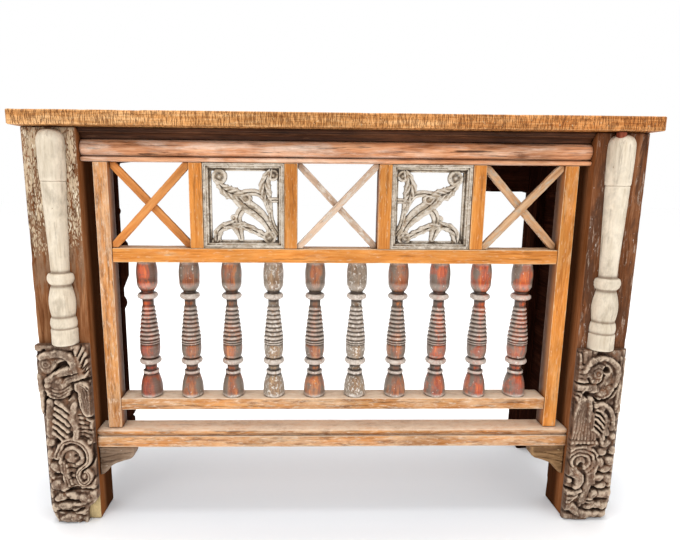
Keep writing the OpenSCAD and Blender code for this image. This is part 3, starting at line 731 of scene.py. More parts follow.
# How each finish of the record is mixed. The grain follows each piece's own length.
FINISH = {
    "top_wood": dict(dark=(160, 98, 46), mid=(206, 144, 84), light=(240, 190, 134), saw=0.75,
                     dirt=(118, 64, 26), blotch=0.2, pores=0.3,
                     layers=[paint((242, 212, 168), 0.2, 0.006, 1.0, 0.0, soft=0.04)]),
    "fixing_wood": dict(dark=(150, 112, 74), mid=(190, 150, 106), light=(214, 178, 134)),
    "batten_wood": dict(dark=(96, 62, 38), mid=(128, 86, 54), light=(156, 110, 72)),
    "post_cream_paint": dict(
        dark=(78, 42, 22), mid=(124, 78, 48), light=(158, 114, 80), faced=True, pores=0.7,
        dirt=(44, 24, 14), gloss=0.0, layers=[
            paint((140, 110, 86), 0.52, 0.014, 5, 0.1, (0.36, 0.60), 0.08, 0.8),
            paint((202, 178, 148), 0.74, 0.009, 4.5, 0.1, (0.48, 0.72), 0.03, 1.0, 0.18),
            paint((236, 220, 194), 0.46, 0.006, 3.5, 0.0, (0.44, 0.70), 0.03, 1.0, 0.14),
            paint((208, 184, 136), 0.84, 0.012, 3.0, 0.0, (0.10, 0.06), 0.04)]),
    "post_dark_paint": dict(
        dark=(70, 38, 22), mid=(116, 72, 46), light=(150, 106, 76), faced=True, pores=0.6,
        dirt=(38, 22, 14), gloss=0.0, layers=[
            paint((92, 62, 46), 0.46, 0.02, 5, 0.1, soft=0.08),
            paint((182, 160, 142), 0.30, 0.008, 5, 0.0, soft=0.05, strength=0.8),
            paint((240, 232, 222), 0.16, 0.006, 3, 0.0)]),
    # near black: painted shade for the rear pieces, which stand in the table's shadow
    "rear_wood": dict(dark=(18, 8, 5), mid=(36, 17, 11), light=(60, 32, 21), rough=0.8, gloss=0.0,
                      layers=[paint((96, 66, 50), 0.06, 0.012, 3)]),
    "carved_wood": dict(
        dark=(68, 46, 33), mid=(110, 84, 67), light=(148, 122, 101), dirt=(34, 20, 13),
        dirty=1.0, worn=(202, 180, 158), edge=(0.3, 0.85), blotch=0.45, pores=0.5, layers=[
            paint((138, 94, 64), 0.38, 0.03, 1.2, 0.2, soft=0.08, strength=0.6),
            paint((186, 166, 144), 0.24, 0.007, 1.4, -0.2, soft=0.04)]),
    "column_paint": dict(
        dark=(182, 164, 140), mid=(210, 196, 174), light=(224, 211, 191), dirt=(98, 74, 54),
        dirty=0.75, worn=(230, 217, 197), blotch=0.12, pores=0.3, layers=[
            paint((234, 221, 200), 0.5, 0.04, 2.0, 0.0, soft=0.12, strength=0.7),
            paint((176, 162, 142), 0.34, 0.03, 2.0, 0.0, soft=0.10, strength=0.6),
            paint((150, 112, 70), 0.10, 0.009, 4, 0.0)]),
    "peg_wood": dict(dark=(84, 34, 22), mid=(126, 60, 40), light=(156, 86, 60)),
    "apron_wood": dict(
        dark=(118, 70, 42), mid=(206, 142, 100), light=(234, 182, 142), dirt=(56, 30, 18),
        pores=0.9, layers=[
            paint((244, 220, 200), 0.40, 0.03, 7, 0.0, soft=0.12, strength=0.75),
            paint((104, 64, 42), 0.26, 0.014, 10, 0.0, soft=0.05, strength=0.85)]),
    "cornice_wood": dict(dark=(40, 20, 10), mid=(68, 38, 21), light=(98, 62, 40),
                         worn=(146, 108, 82), pores=0.7, layers=[
                             paint((122, 86, 64), 0.20, 0.012, 12, 0.0, soft=0.06)]),
    "rail_wood": dict(
        dark=(140, 82, 40), mid=(192, 128, 72), light=(212, 156, 100), dirt=(72, 42, 26),
        pores=0.6, dusty=(228, 206, 182), faced=True, worn=(236, 208, 176), edge=(0.3, 1.0),
        layers=[
            paint((232, 198, 162), 0.40, 0.03, 5, -0.1, soft=0.12, strength=0.6),
            paint((120, 76, 46), 0.34, 0.012, 6, 0.0, soft=0.06, strength=0.7),
            paint((236, 216, 192), 0.34, 0.005, 4, -0.3, soft=0.09, strength=0.6)]),
    "orange_rail_wood": dict(
        dark=(166, 94, 32), mid=(206, 130, 58), light=(222, 154, 82), dirt=(92, 48, 20),
        pores=0.4, blotch=0.25, faced=True, dusty=(218, 190, 156), worn=(238, 206, 162),
        edge=(0.3, 1.0), layers=[
            paint((228, 182, 132), 0.26, 0.02, 5, -0.15, soft=0.10, strength=0.6),
            paint((242, 218, 182), 0.24, 0.005, 4, -0.3, soft=0.09, strength=0.55)]),
    "leaf_wood": dict(
        dark=(112, 94, 76), mid=(158, 142, 122), light=(188, 173, 152), dirt=(58, 46, 36),
        dirty=1.0, worn=(214, 202, 186), pores=0.5, layers=[
            paint((214, 204, 190), 0.36, 0.009, 1.6, -0.1, soft=0.05),
            paint((156, 122, 88), 0.34, 0.012, 1.6, 0.1, soft=0.06, strength=0.7)]),
    "slat_orange": dict(dark=(160, 90, 36), mid=(196, 122, 60), light=(212, 146, 84),
                        dirt=(92, 50, 24)),
    "slat_pale": dict(dark=(150, 112, 86), mid=(200, 166, 138), light=(222, 196, 172),
                      layers=[paint((208, 196, 182), 0.4, 0.01, 3, 0.0, soft=0.06)]),
    "slat_tan": dict(dark=(126, 84, 52), mid=(178, 132, 92), light=(206, 168, 130),
                     layers=[paint((190, 172, 150), 0.40, 0.01, 3, 0.0, soft=0.06)]),
    "bracket_brown": dict(dark=(78, 54, 40), mid=(120, 96, 76), light=(152, 130, 110),
                          layers=[paint((188, 172, 156), 0.2, 0.008, 1.4, 0.0)]),
    "bracket_ochre": dict(dark=(66, 44, 28), mid=(116, 84, 54), light=(158, 124, 86),
                          layers=[paint((202, 172, 130), 0.2, 0.008, 1.6, 0.0)]),
    "baluster_red": turned_wood((104, 28, 6), (176, 60, 12), (216, 106, 32), (98, 66, 50)),
    "baluster_wood": turned_wood((92, 42, 16), (158, 80, 32), (208, 130, 64), (108, 92, 78),
                                 0.20),
    "baluster_pale": turned_wood((78, 58, 40), (130, 98, 68), (178, 146, 108),
                                 (138, 124, 108), 0.36),
    "baluster_orange": turned_wood((106, 32, 8), (180, 68, 16), (220, 116, 40),
                                   (112, 95, 83), 0.20),
}
MADE = {}


def finish_of(node, along="X"):
    """The material for a node's slot, with its grain along one axis."""
    slot = SLOT[node]
    metal = slot == "screw_steel"
    key = slot if metal else slot + "_along_" + along.lower()
    if key not in MADE:
        mix = {} if metal else dict(FINISH[slot])
        if along != "Z":
            mix.pop("faced", None)
        MADE[key] = steel(key) if metal else timber(key, along, **mix)
    return MADE[key]


# ---------------------------------------------------------------- the top

for i, node in enumerate(("top_plank_front", "top_plank_middle", "top_plank_back")):
    at = Place(node)
    gap = 0.4 * MM
    bar(node, box_outline(at.y0 + gap * (i > 0), at.y1 - gap * (i < 2), at.z0, at.z1),
        at.x0, at.x1, "X", radius=(4 if i == 0 else 2.5) * MM, nick=3.5 * MM, rough=0.5 * MM,
        bow=0.8 * MM, seed=11 + i)

# ---------------------------------------------------------------- the posts

FOOT_CUT_W, FOOT_CUT_H = 18 * MM, 38 * MM


def front_post(side):
    at = POST[side]

    def cut_foot(v):
        cut = FOOT_CUT_W * np.clip(1 - v[..., 2] / FOOT_CUT_H, 0, 1)
        if side == "left":
            v[..., 0] = np.maximum(v[..., 0], at.x0 + cut)
        else:
            v[..., 0] = np.minimum(v[..., 0], at.x1 - cut)
        return v

    box_bar("front_post_" + side, "Z", radius=3 * MM, nick=3 * MM, rough=0.5 * MM, bow=1.0 * MM,
            seed=21 + len(side), shape=cut_foot)


front_post("left")
front_post("right")

REAR, CUT_BACK = Place("rear_post_right"), 26 * MM
CORBEL, TURNING = Place("rear_corbel_right"), Place("rear_column_left")


def cut_back(v):
    """Below the corbel the inner face of the right rear post stands further out."""
    low = v[..., 2] < CORBEL.z0
    v[..., 0] = np.where(low, np.maximum(v[..., 0], REAR.x0 + CUT_BACK), v[..., 0])
    return v


def narrow(v):
    """Below the turning's top the left rear post is a narrower timber."""
    low = v[..., 2] < TURNING.z1
    v[..., 0] = np.where(low, np.minimum(v[..., 0], TURNING.x0), v[..., 0])
    return v


for side, seed, shape in (("right", 31, cut_back), ("left", 33, narrow)):
    box_bar("rear_post_" + side, "Z", radius=3 * MM, nick=3 * MM, rough=0.5 * MM, seed=seed,
            shape=shape)

# ---------------------------------------------------------------- turned half columns


def shaft_profile(h, r):
    return ([(0, 0), (r - 0.5 * MM, 0), (r, 3 * MM), (r, h * 0.10), (r - 2 * MM, h * 0.103)]
            + swell(r - 2 * MM, h * 0.105, r - 2 * MM, h * 0.170, 2 * MM)
            + swell(r - 4 * MM, h * 0.178, r * 0.74, h * 0.375, 5.5 * MM)
            + swell(r - 2.5 * MM, h * 0.392, r - 2.5 * MM, h * 0.445, 2.5 * MM)
            + [(r * 0.68, h * 0.452), (r * 0.90, h), (0, h)])


def cap_profile(h, r):
    dome = [(r * math.cos(math.radians(a)) ** 0.6, h * (0.76 + 0.24 * math.sin(math.radians(a))))
            for a in range(0, 90, 10)] + [(0, h)]
    return [(0, 0), (r - 3 * MM, 0), (r - 1.5 * MM, 4 * MM), (r, h * 0.5)] + dome


for i, side in enumerate(("left", "right")):
    at = Place("column_" + side)
    radius = at.w / 2
    turning("column_" + side, shaft_profile(at.h, radius), at.cx, at.y1, at.z0, half=True,
            nick=1.4 * MM, rough=0.5 * MM, seed=41 + i)
    at = Place("column_cap_" + side)
    turning("column_cap_" + side, cap_profile(at.h, radius), at.cx, at.y1, at.z0, half=True,
            nick=1.4 * MM, rough=0.6 * MM, seed=45 + i)

at = Place("column_peg_right")
turning("column_peg_right", [(0, 0), (at.w / 2, 0), (at.w / 2, at.h), (0, at.h)], at.cx, at.cy,
        at.z0, segments=28, nick=0.6 * MM, seed=49)


def rear_profile(h):
    return ([(0, 0), (24 * MM, 0), (24 * MM, h * 0.10)]
            + swell(14 * MM, h * 0.105, 14 * MM, h * 0.155, 14 * MM)
            + [(12 * MM, h * 0.17), (12 * MM, h * 0.47)]
            + swell(11 * MM, h * 0.50, 11 * MM, h * 0.55, 9 * MM)
            + [(11 * MM, h * 0.57), (28 * MM, h * 0.62), (30 * MM, h * 0.73),
               (12 * MM, h * 0.76), (10 * MM, h * 0.81)]
            + swell(10 * MM, h * 0.825, 10 * MM, h * 0.855, 6 * MM)
            + [(10 * MM, h * 0.87), (12 * MM, h * 0.97), (22 * MM, h), (0, h)])


turning("rear_column_left", rear_profile(TURNING.h), TURNING.x0, TURNING.cy, TURNING.z0,
        half=True, facing=90, seed=51)

# ---------------------------------------------------------------- rails

at = Place("apron_rail")
y0, z0, z1 = at.y0, at.z0, at.z1
nose, bead = 19 * MM, 5 * MM
APRON = ([(y0 + 6 * MM, z0), (at.y1, z0), (at.y1, z1), (y0 + nose, z1)]
         + arc(y0 + nose, z1 - nose, nose, 95, 246, 14)
         + [(y0 + 12 * MM, z0 + 10 * MM)]
         + arc(y0 + 6 * MM, z0 + bead, bead, 90, 262, 9))
bar("apron_rail", APRON, -INNER_X, INNER_X, "X", radius=1.2 * MM, spacing=5 * MM, nick=1.2 * MM,
    rough=0.4 * MM, seed=61)

at = Place("apron_cornice")
cove, fillet, step = 12 * MM, 6 * MM, 3 * MM
CORNICE = ([(at.y0 + step + cove, at.z0), (at.y1, at.z0), (at.y1, at.z1), (at.y0, at.z1),
            (at.y0, at.z1 - fillet), (at.y0 + step, at.z1 - fillet)]
           + arc(at.y0 + step, at.z0, cove, 88, 4, 9))
bar("apron_cornice", CORNICE, at.x0, at.x1, "X", radius=1 * MM, spacing=5 * MM, seed=62)

at = Place("bottom_rail")
y0, z0, z1 = at.y0, at.z0, at.z1
bead = 6 * MM
BASE = ([(y0 + 3 * MM, z0), (at.y1, z0), (at.y1, z1), (y0 + bead, z1)]
        + arc(y0 + bead, z1 - bead, bead, 100, 258, 10)
        + [(y0 + 5 * MM, z0 + 28 * MM), (y0, z0 + 28 * MM), (y0, z0 + 3 * MM)])
bar("bottom_rail", BASE, -INNER_X, INNER_X, "X", radius=1.5 * MM, spacing=5 * MM, nick=2 * MM,
    rough=0.4 * MM, seed=63)

TONGUE = 8 * MM
box_bar("rear_apron", "X", -INNER_X, INNER_X, nick=2 * MM, seed=64)
for i, side in enumerate(("left", "right")):
    box_bar("side_rail_" + side, "Y", POST[side].y1, REAR.y0, nick=2 * MM, seed=65 + i)
    box_bar("side_board_" + side, "Y", POST[side].y1 - TONGUE, REAR.y0 + TONGUE, nick=2 * MM,
            seed=67 + i)

# ---------------------------------------------------------------- balustrade frame

MID, LOWER = Place("mid_rail"), Place("lower_rail")
BASE_TOP, APRON_Z = Place("bottom_rail").z1, Place("slat_1_rising").z1
STILE_X = Place("slat_5_rising").x1
for i, side in enumerate(("left", "right")):
    box_bar("stile_" + side, "Z", BASE_TOP, APRON_Z, radius=2 * MM, seed=71 + i)
for i, node in enumerate(("mid_rail", "lower_rail")):
    box_bar(node, "X", -STILE_X, STILE_X, nick=2 * MM, rough=0.3 * MM, seed=73 + i)
for i in range(1, 5):
    box_bar("muntin_%d" % i, "Z", MID.z1, APRON_Z, radius=2 * MM, seed=75 + i)

# ---------------------------------------------------------------- balusters


def collar(r, z, t):
    """A thin-edged collar of a turning."""
    return [(r * 0.66, z), (r * 0.94, z + t * 0.25), (r, z + t * 0.42), (r, z + t * 0.62),
            (r * 0.90, z + t * 0.85), (r * 0.66, z + t)]


def baluster_profile(h, r, spigot=7 * MM, end=12 * MM, ribs=8):
    p = [(0, -end), (spigot, -end), (spigot, 0), (r - 2 * MM, 0), (r, 4 * MM)]
    p += swell(r, 6 * MM, r * 0.66, h * 0.17, r * 0.10)
    p += [(r * 0.72, h * 0.174), (r * 0.72, h * 0.192), (r * 0.54, h * 0.196),
          (r * 0.54, h * 0.238)]
    p += collar(r * 0.97, h * 0.24, h * 0.052)
    p += swell(r * 0.76, h * 0.295, r * 0.88, h * 0.392, r * 0.07)
    for z in (0.396, 0.412):
        p += swell(r * 0.82, h * z, r * 0.82, h * (z + 0.016), r * 0.1, 4)
    for k in range(ribs):
        a, b = k / ribs, (k + 1) / ribs
        p += swell(r * (0.84 - 0.34 * a), h * (0.432 + 0.244 * a), r * (0.84 - 0.34 * b),
                   h * (0.432 + 0.244 * b), r * 0.09, 6)[:-1]
    p += [(r * 0.5, h * 0.68), (r * 0.5, h * 0.724)]
    p += collar(r * 0.90, h * 0.726, h * 0.05)
    p += swell(r * 0.56, h * 0.785, r * 0.90, h * 0.86, r * 0.12, 6)
    p += swell(r * 0.90, h * 0.865, r * 0.78, h, r * 0.08)
    return p + [(spigot, h), (spigot, h + end), (0, h + end)]


for i in range(1, 11):
    node = "baluster_%02d" % i
    at = Place(node)
    turning(node, baluster_profile(MID.z0 - LOWER.z1, at.w / 2), at.cx, at.cy, LOWER.z1,
            segments=48, rough=0.35 * MM, seed=80 + i, blur=0)

# ---------------------------------------------------------------- crossed slats

for panel, half in ((1, 8.4 * MM), (3, 7.0 * MM), (5, 8.0 * MM)):
    for way in ("falling", "rising"):
        node = "slat_%d_%s" % (panel, way)
        at = Place(node)
        board = Board(at.w, at.h, 1.0 * MM)
        slope = math.atan2(at.h, at.w) * (1 if way == "rising" else -1)
        off = ((board.x - at.w / 2) * -math.sin(slope) + (board.z - at.h / 2) * math.cos(slope))
        points = np.stack([board.x, board.z, board.x * 0 + panel], -1)
        ragged = 0.7 * MM * fractal(points, 16 * MM, panel * 3 + len(way))
        board.inside = np.minimum(board.inside, half + ragged - np.abs(off))
        board.height[:] = at.d
        board.weather(0.4, 0.2, panel)
        board.height = np.minimum(board.height, at.d)
        carved(node, board, way)

# ---------------------------------------------------------------- leaf panels


def leaf_panel(node, mirrored, seed):
    """A pierced panel: a moulded border round two leaves, their stems and a low arch."""
    at = Place(node)
    board = Board(at.w, at.h, GRID)
    border = 12 * MM
    edge = board.inside.copy()
    fret = np.full_like(edge, -1.0)
    proud = at.d * 0.62
    board.waver(0.9 * MM, 9 * MM, seed)

    def add(inside, height):
        nonlocal fret
        fret = np.maximum(fret, inside)
        board.height = np.where(inside > 0, np.maximum(board.height, height), board.height)

    # a rebate round the opening, wider on the side where the stems meet the border
    rebate = np.minimum(np.minimum(board.x - border - 5 * MM, at.w - border - 4 * MM - board.x),
                        np.minimum(board.z - border - 5 * MM, at.h - border - 5 * MM - board.z))
    add(-rebate, proud * 0.75)
    for points, widths, teeth in (
            (((15, 80), (27, 68), (38, 64), (52, 59)), (6, 17, 14), 6),
            (((44, 59), (54, 50), (66, 42), (77, 31), (87, 15)),
             (16, 14, 7), 0),
            (((50, 65), (62, 66), (71, 63), (77, 55), (81, 44)),
             (8, 7, 5), 0),
            (((84, 94), (77, 80), (76, 70), (79, 58), (83, 44)),
             (8, 17, 5), 5),
            (((82, 58), (83, 40), (86, 28), (92, 18)), (5.5, 5.5, 6), 0),
            (((80, 57), (94, 57)), (6, 6, 6), 0),
            (((56, 45), (50, 46.5), (45, 43), (42, 36), (43, 28)),
             (7, 9, 7), 0),
            (((15, 7), (18, 20), (28, 26.5), (40, 27.5), (52, 25),
              (64, 20), (80, 12)), (11, 11, 8), 7),
            (((42, 24), (46, 11)), (13, 9, 6), 0)):
        dist, share, side = board.measure(board.path(points))
        width = 1.14 * np.interp(share, (0, 0.5, 1), widths) / 100 * board.w
        if teeth:
            width = width * (1 - 0.2 * np.abs(np.sin(np.pi * teeth * share)) ** 0.7)
        inside = width / 2 - dist
        crown = np.sqrt(np.clip(inside / (4 * MM), 0, 1))
        vein = np.clip(1 - np.abs(side) / (1.5 * MM), 0, 1)
        lobes = 0.0
        if teeth:
            lobes = 0.13 * np.cos(2 * np.pi * (teeth * share - np.abs(side) / (9 * MM)))
        add(inside, proud * (0.70 + 0.30 * crown + lobes - 0.28 * vein))
    for u, v, r in ((20, 84, 9.5), (86, 86, 7), (37, 36, 4), (82, 13, 8.5)):
        radius = r / 100 * at.w
        d = np.hypot(board.wx - u / 100 * at.w, board.wz - v / 100 * at.h) / radius
        add((1 - d) * radius, proud * (0.88 + 0.12 * np.cos(2 * np.pi * 1.2 * d)))
    frame_in = np.minimum(edge, border - edge)
    step = 3.5 * MM * smoothstep(0.50, 0.62, edge / border) + 3 * MM * smoothstep(0.85, 0.95,
                                                                                edge / border)
    line = 1.5 * MM * np.clip(1 - np.abs(edge - 0.30 * border) / (1.2 * MM), 0, 1)
    board.height = np.where(frame_in > 0, np.maximum(board.height, at.d - step - line),
                            board.height)
    board.inside = np.minimum(np.maximum(fret, frame_in), edge)
    board.weather(0.6, 0.6, seed)
    board.height = np.minimum(board.height, at.d)
    carved(node, board, round_over=1.2 * MM, mirrored=mirrored, cavity_scale=1.5 * MM)


leaf_panel("leaf_panel_left", False, 5)
leaf_panel("leaf_panel_right", True, 6)

# ---------------------------------------------------------------- brackets and corbel


def bracket(node, mirrored, seed):
    """Scrolled bracket under the end of the bottom rail; u runs towards the post."""
    at = Place(node)
    board = Board(at.w, at.h, GRID)
    edge = [(0, 100), (5, 88), (8, 70), (16, 58), (36, 50), (58, 40), (71, 30), (78, 18),
            (92, 3), (100, 0)]
    board.inside = np.minimum(board.inside, board.measure(board.path(edge, 5))[2])
    board.height[:] = at.d
    for v in (80, 62):
        board.groove([(10, v), (50, v - 6), (100, v - 20)], 4, 2)
    board.weather(1.2, 0.6, seed)
    board.height = np.minimum(board.height, at.d)
    carved(node, board, round_over=4 * MM, mirrored=mirrored)


bracket("bracket_left", True, 7)
bracket("bracket_right", False, 8)

hollow = 14 * MM
at = CORBEL
outline = [(at.z0, at.x1), (at.z1, at.x1), (at.z1, at.x0)]
outline += arc(at.z0, at.x0, hollow, 0, 90, 7)
bar("rear_corbel_right", outline[::-1], at.y0, at.y1, "Y", seed=91, grain="X")

# ---------------------------------------------------------------- carved blocks


def upper(*points):
    """Points in the upper half of a block, given as shares of that half."""
    return [(u, 50 + v / 2) for u, v in points]


def lower(*points):
    return [(u, v / 2) for u, v in points]


def rubble(board, count, low, high, seed):
    """Fills the whole ground with small broken leaf forms for the larger carving to rise from."""
    random = np.random.default_rng(seed)
    for _ in range(count):
        u, v = 100 * random.random(2)
        across, up = random.uniform(4, 10, 2)
        board.mound(u, v, across, up, random.uniform(low, high), random.uniform(-60, 60), 0.7)


def relief_left(b):
    """A crested bird over a curled scroll, on leaves and broken rock."""
    rubble(b, 170, 12, 17, 5)
    # ledge, crest curling over the head, and the ringed boss
    b.mound(6, 86, 16, 34, 15, 0, 0.3)
    b.ridge(upper((2, 97.5), (40, 98), (78, 97)), 16, 18)
    for u in (16, 74):
        b.hollow(u, 97.2, 3.5, 3.5, 9)
    b.mound(36, 93, 30, 18, 18)
    b.ridge(upper((14, 88), (30, 90.5), (50, 91), (64, 88), (70, 82), (71, 74), (76, 66)), 23, 24,
            (0.7, 0.8))
    b.mound(21, 89.5, 19, 22, 22, 0, 0.4)
    b.rings(20, 90, 14, 2, 2.2)
    b.groove(upper((28, 68), (37, 74), (45, 79), (55, 80), (61, 78)), 15, 15, (0.3, 1.0))
    # beak and face
    b.ridge(upper((22, 63), (42, 69.5), (68, 73.5)), 22, 23, (0.7, 0.9))
    b.ridge(upper((50, 60), (66, 64.5), (84, 67)), 18, 21, (0.8, 1))
    b.groove(upper((40, 62), (60, 67.5), (80, 70.5)), 4, 5)
    b.fan(b.groove, upper((34, 68), (46, 71.5)), upper((66, 60), (80, 63)), 4, 3, 2)
    # leaf beside the crest
    b.ridge(upper((78, 94), (80, 78), (88, 64)), 9, 19)
    b.fan(b.ridge, upper((80, 84), (90, 96)), upper((90, 66), (102, 76)), 4, 9, 19, (0.6, 1))
    b.fan(b.groove, upper((80, 89), (88, 98)), upper((92, 70), (102, 75)), 5, 4, 7)
    b.groove(upper((86, 63), (102, 63)), 8, 13)
    # breast
    b.mound(38, 76.5, 31, 28, 22, 0, 0.35)
    for u, v in ((42, 81), (22, 79), (36, 76.5), (50, 79), (20, 75)):
        b.mound(u, v, 9, 7, 24, 20)
    b.fan(b.groove, upper((22, 48), (42, 45), (58, 50)), upper((26, 56), (44, 53), (60, 57)), 3, 4,
            3)
    b.groove(upper((12, 50), (18, 43), (34, 40.5), (48, 41), (62, 45.5)), 8, 13)
    # plume
    b.fan(b.ridge, upper((74, 53), (80, 50), (80, 42), (82, 32), (90, 23)),
            upper((74, 59), (88, 60), (100, 53), (102, 38), (102, 24)), 6, 5.5, 22, (0.9, 0.8),
            drop=1.2)
    b.groove(upper((75, 38), (79, 27), (88, 21.5), (102, 19)), 9, 13)
    b.hollow(66, 73.3, 8, 11, 17, 20)
    # leaf and plain band at the outer side
    b.ridge(upper((3, 66), (6, 46), (5, 27)), 15, 18, (1, 0.6))
    b.groove(upper((15, 50), (13, 38), (11, 28)), 9, 14)
    b.ridge(upper((20, 38), (18, 20), (17, 2)), 17, 17, drop=0.3)
    # wing
    b.mound(44, 62, 20, 46, 15, 0, 0.2)
    b.fan(b.ridge, upper((33, 39), (44, 35), (58, 27)), upper((24, 5), (34, 0), (46, -7)), 6, 11,
            20, (0.9, 0.8))
    b.fan(b.groove, upper((31, 35), (43, 31.5), (58, 23.5)), upper((24, 8), (33, 3), (46, -4)), 5,
            4.5, 8)
    b.mound(68, 60, 16, 50, 17, 5, 0.3)
    b.ridge(upper((68, 36), (62, 20), (69, 10), (64, -3)), 13, 22)
    b.fan(b.groove, upper((74, 24), (94, 20)), upper((74, 0), (94, -4)), 6, 4, 5)
    # curled scroll round an eyed bead
    b.mound(57, 40, 36, 44, 14, 0, 0.15)
    outer = lower((26, 78), (33, 88), (42, 94.5), (60, 96), (76, 93), (86, 86), (89, 78),
            (85, 70.5), (75, 65), (67, 60), (66, 54), (70, 49), (78, 47.5), (87, 51), (89, 57),
            (84, 62), (77, 62))
    b.ridge(outer, 16, 22, (0.8, 0.6))
    b.groove(outer, 3.5, 4, (1.2, 0.8))
    b.groove(lower((98, 90), (97, 76), (91, 68), (80, 63.5), (74.5, 60), (74, 56)), 9, 14,
            (0.9, 0.5))
    b.ridge(lower((32, 72), (36, 79), (46, 86), (60, 88), (71, 85), (76, 79), (74, 73), (65, 69)),
            9, 21)
    b.groove(lower((37, 74), (42, 81), (54, 85), (64, 84), (69, 78)), 4, 8)
    b.mound(54, 39, 17, 20, 20)
    b.hollow(63, 39.5, 5, 5, 7)
    b.mound(78, 27.7, 8, 8, 20)
    b.fan(b.ridge, lower((32, 73), (33, 60), (40, 42)), lower((43, 68), (45, 56), (52, 46)), 3, 6,
            18, drop=0.9)
    b.fan(b.groove, lower((42, 71), (68, 68)), lower((46, 52), (62, 53)), 4, 4, 5)
    b.hollow(29, 47.5, 9, 7, 14)
    b.ridge(lower((100, 50), (90, 43), (74, 42)), 12, 19)
    # leaves and broken rock
    for u, v, across, up, lean in (
            (13, 94, 12, 11, 0), (15, 80, 11, 12, 20), (20, 66, 13, 11, -20),
            (20, 45, 15, 12, 30), (34, 42, 12, 12, 0), (26, 30, 15, 10, 20),
            (14, 18, 12, 12, 0), (50, 32.5, 18, 8, -15), (74, 29, 17, 10, -15),
            (95, 34, 12, 12, 0), (62, 23, 18, 7, 10), (34, 21, 20, 7, 0),
            (45, 6, 26, 10, 5), (60, 14, 14, 6, 0)):
        b.mound(u, v / 2, across, up, 19, lean)
    b.hollow(24, 28, 13, 6, 12, 10)
    b.groove(lower((40, 37), (60, 39.5), (88, 39.5)), 12, 15, (0.7, 1))
    b.groove(lower((20, 25.5), (42, 26), (66, 25)), 5, 8)
    b.groove(lower((18, 13.5), (45, 12.5), (68, 16.5)), 7, 11)


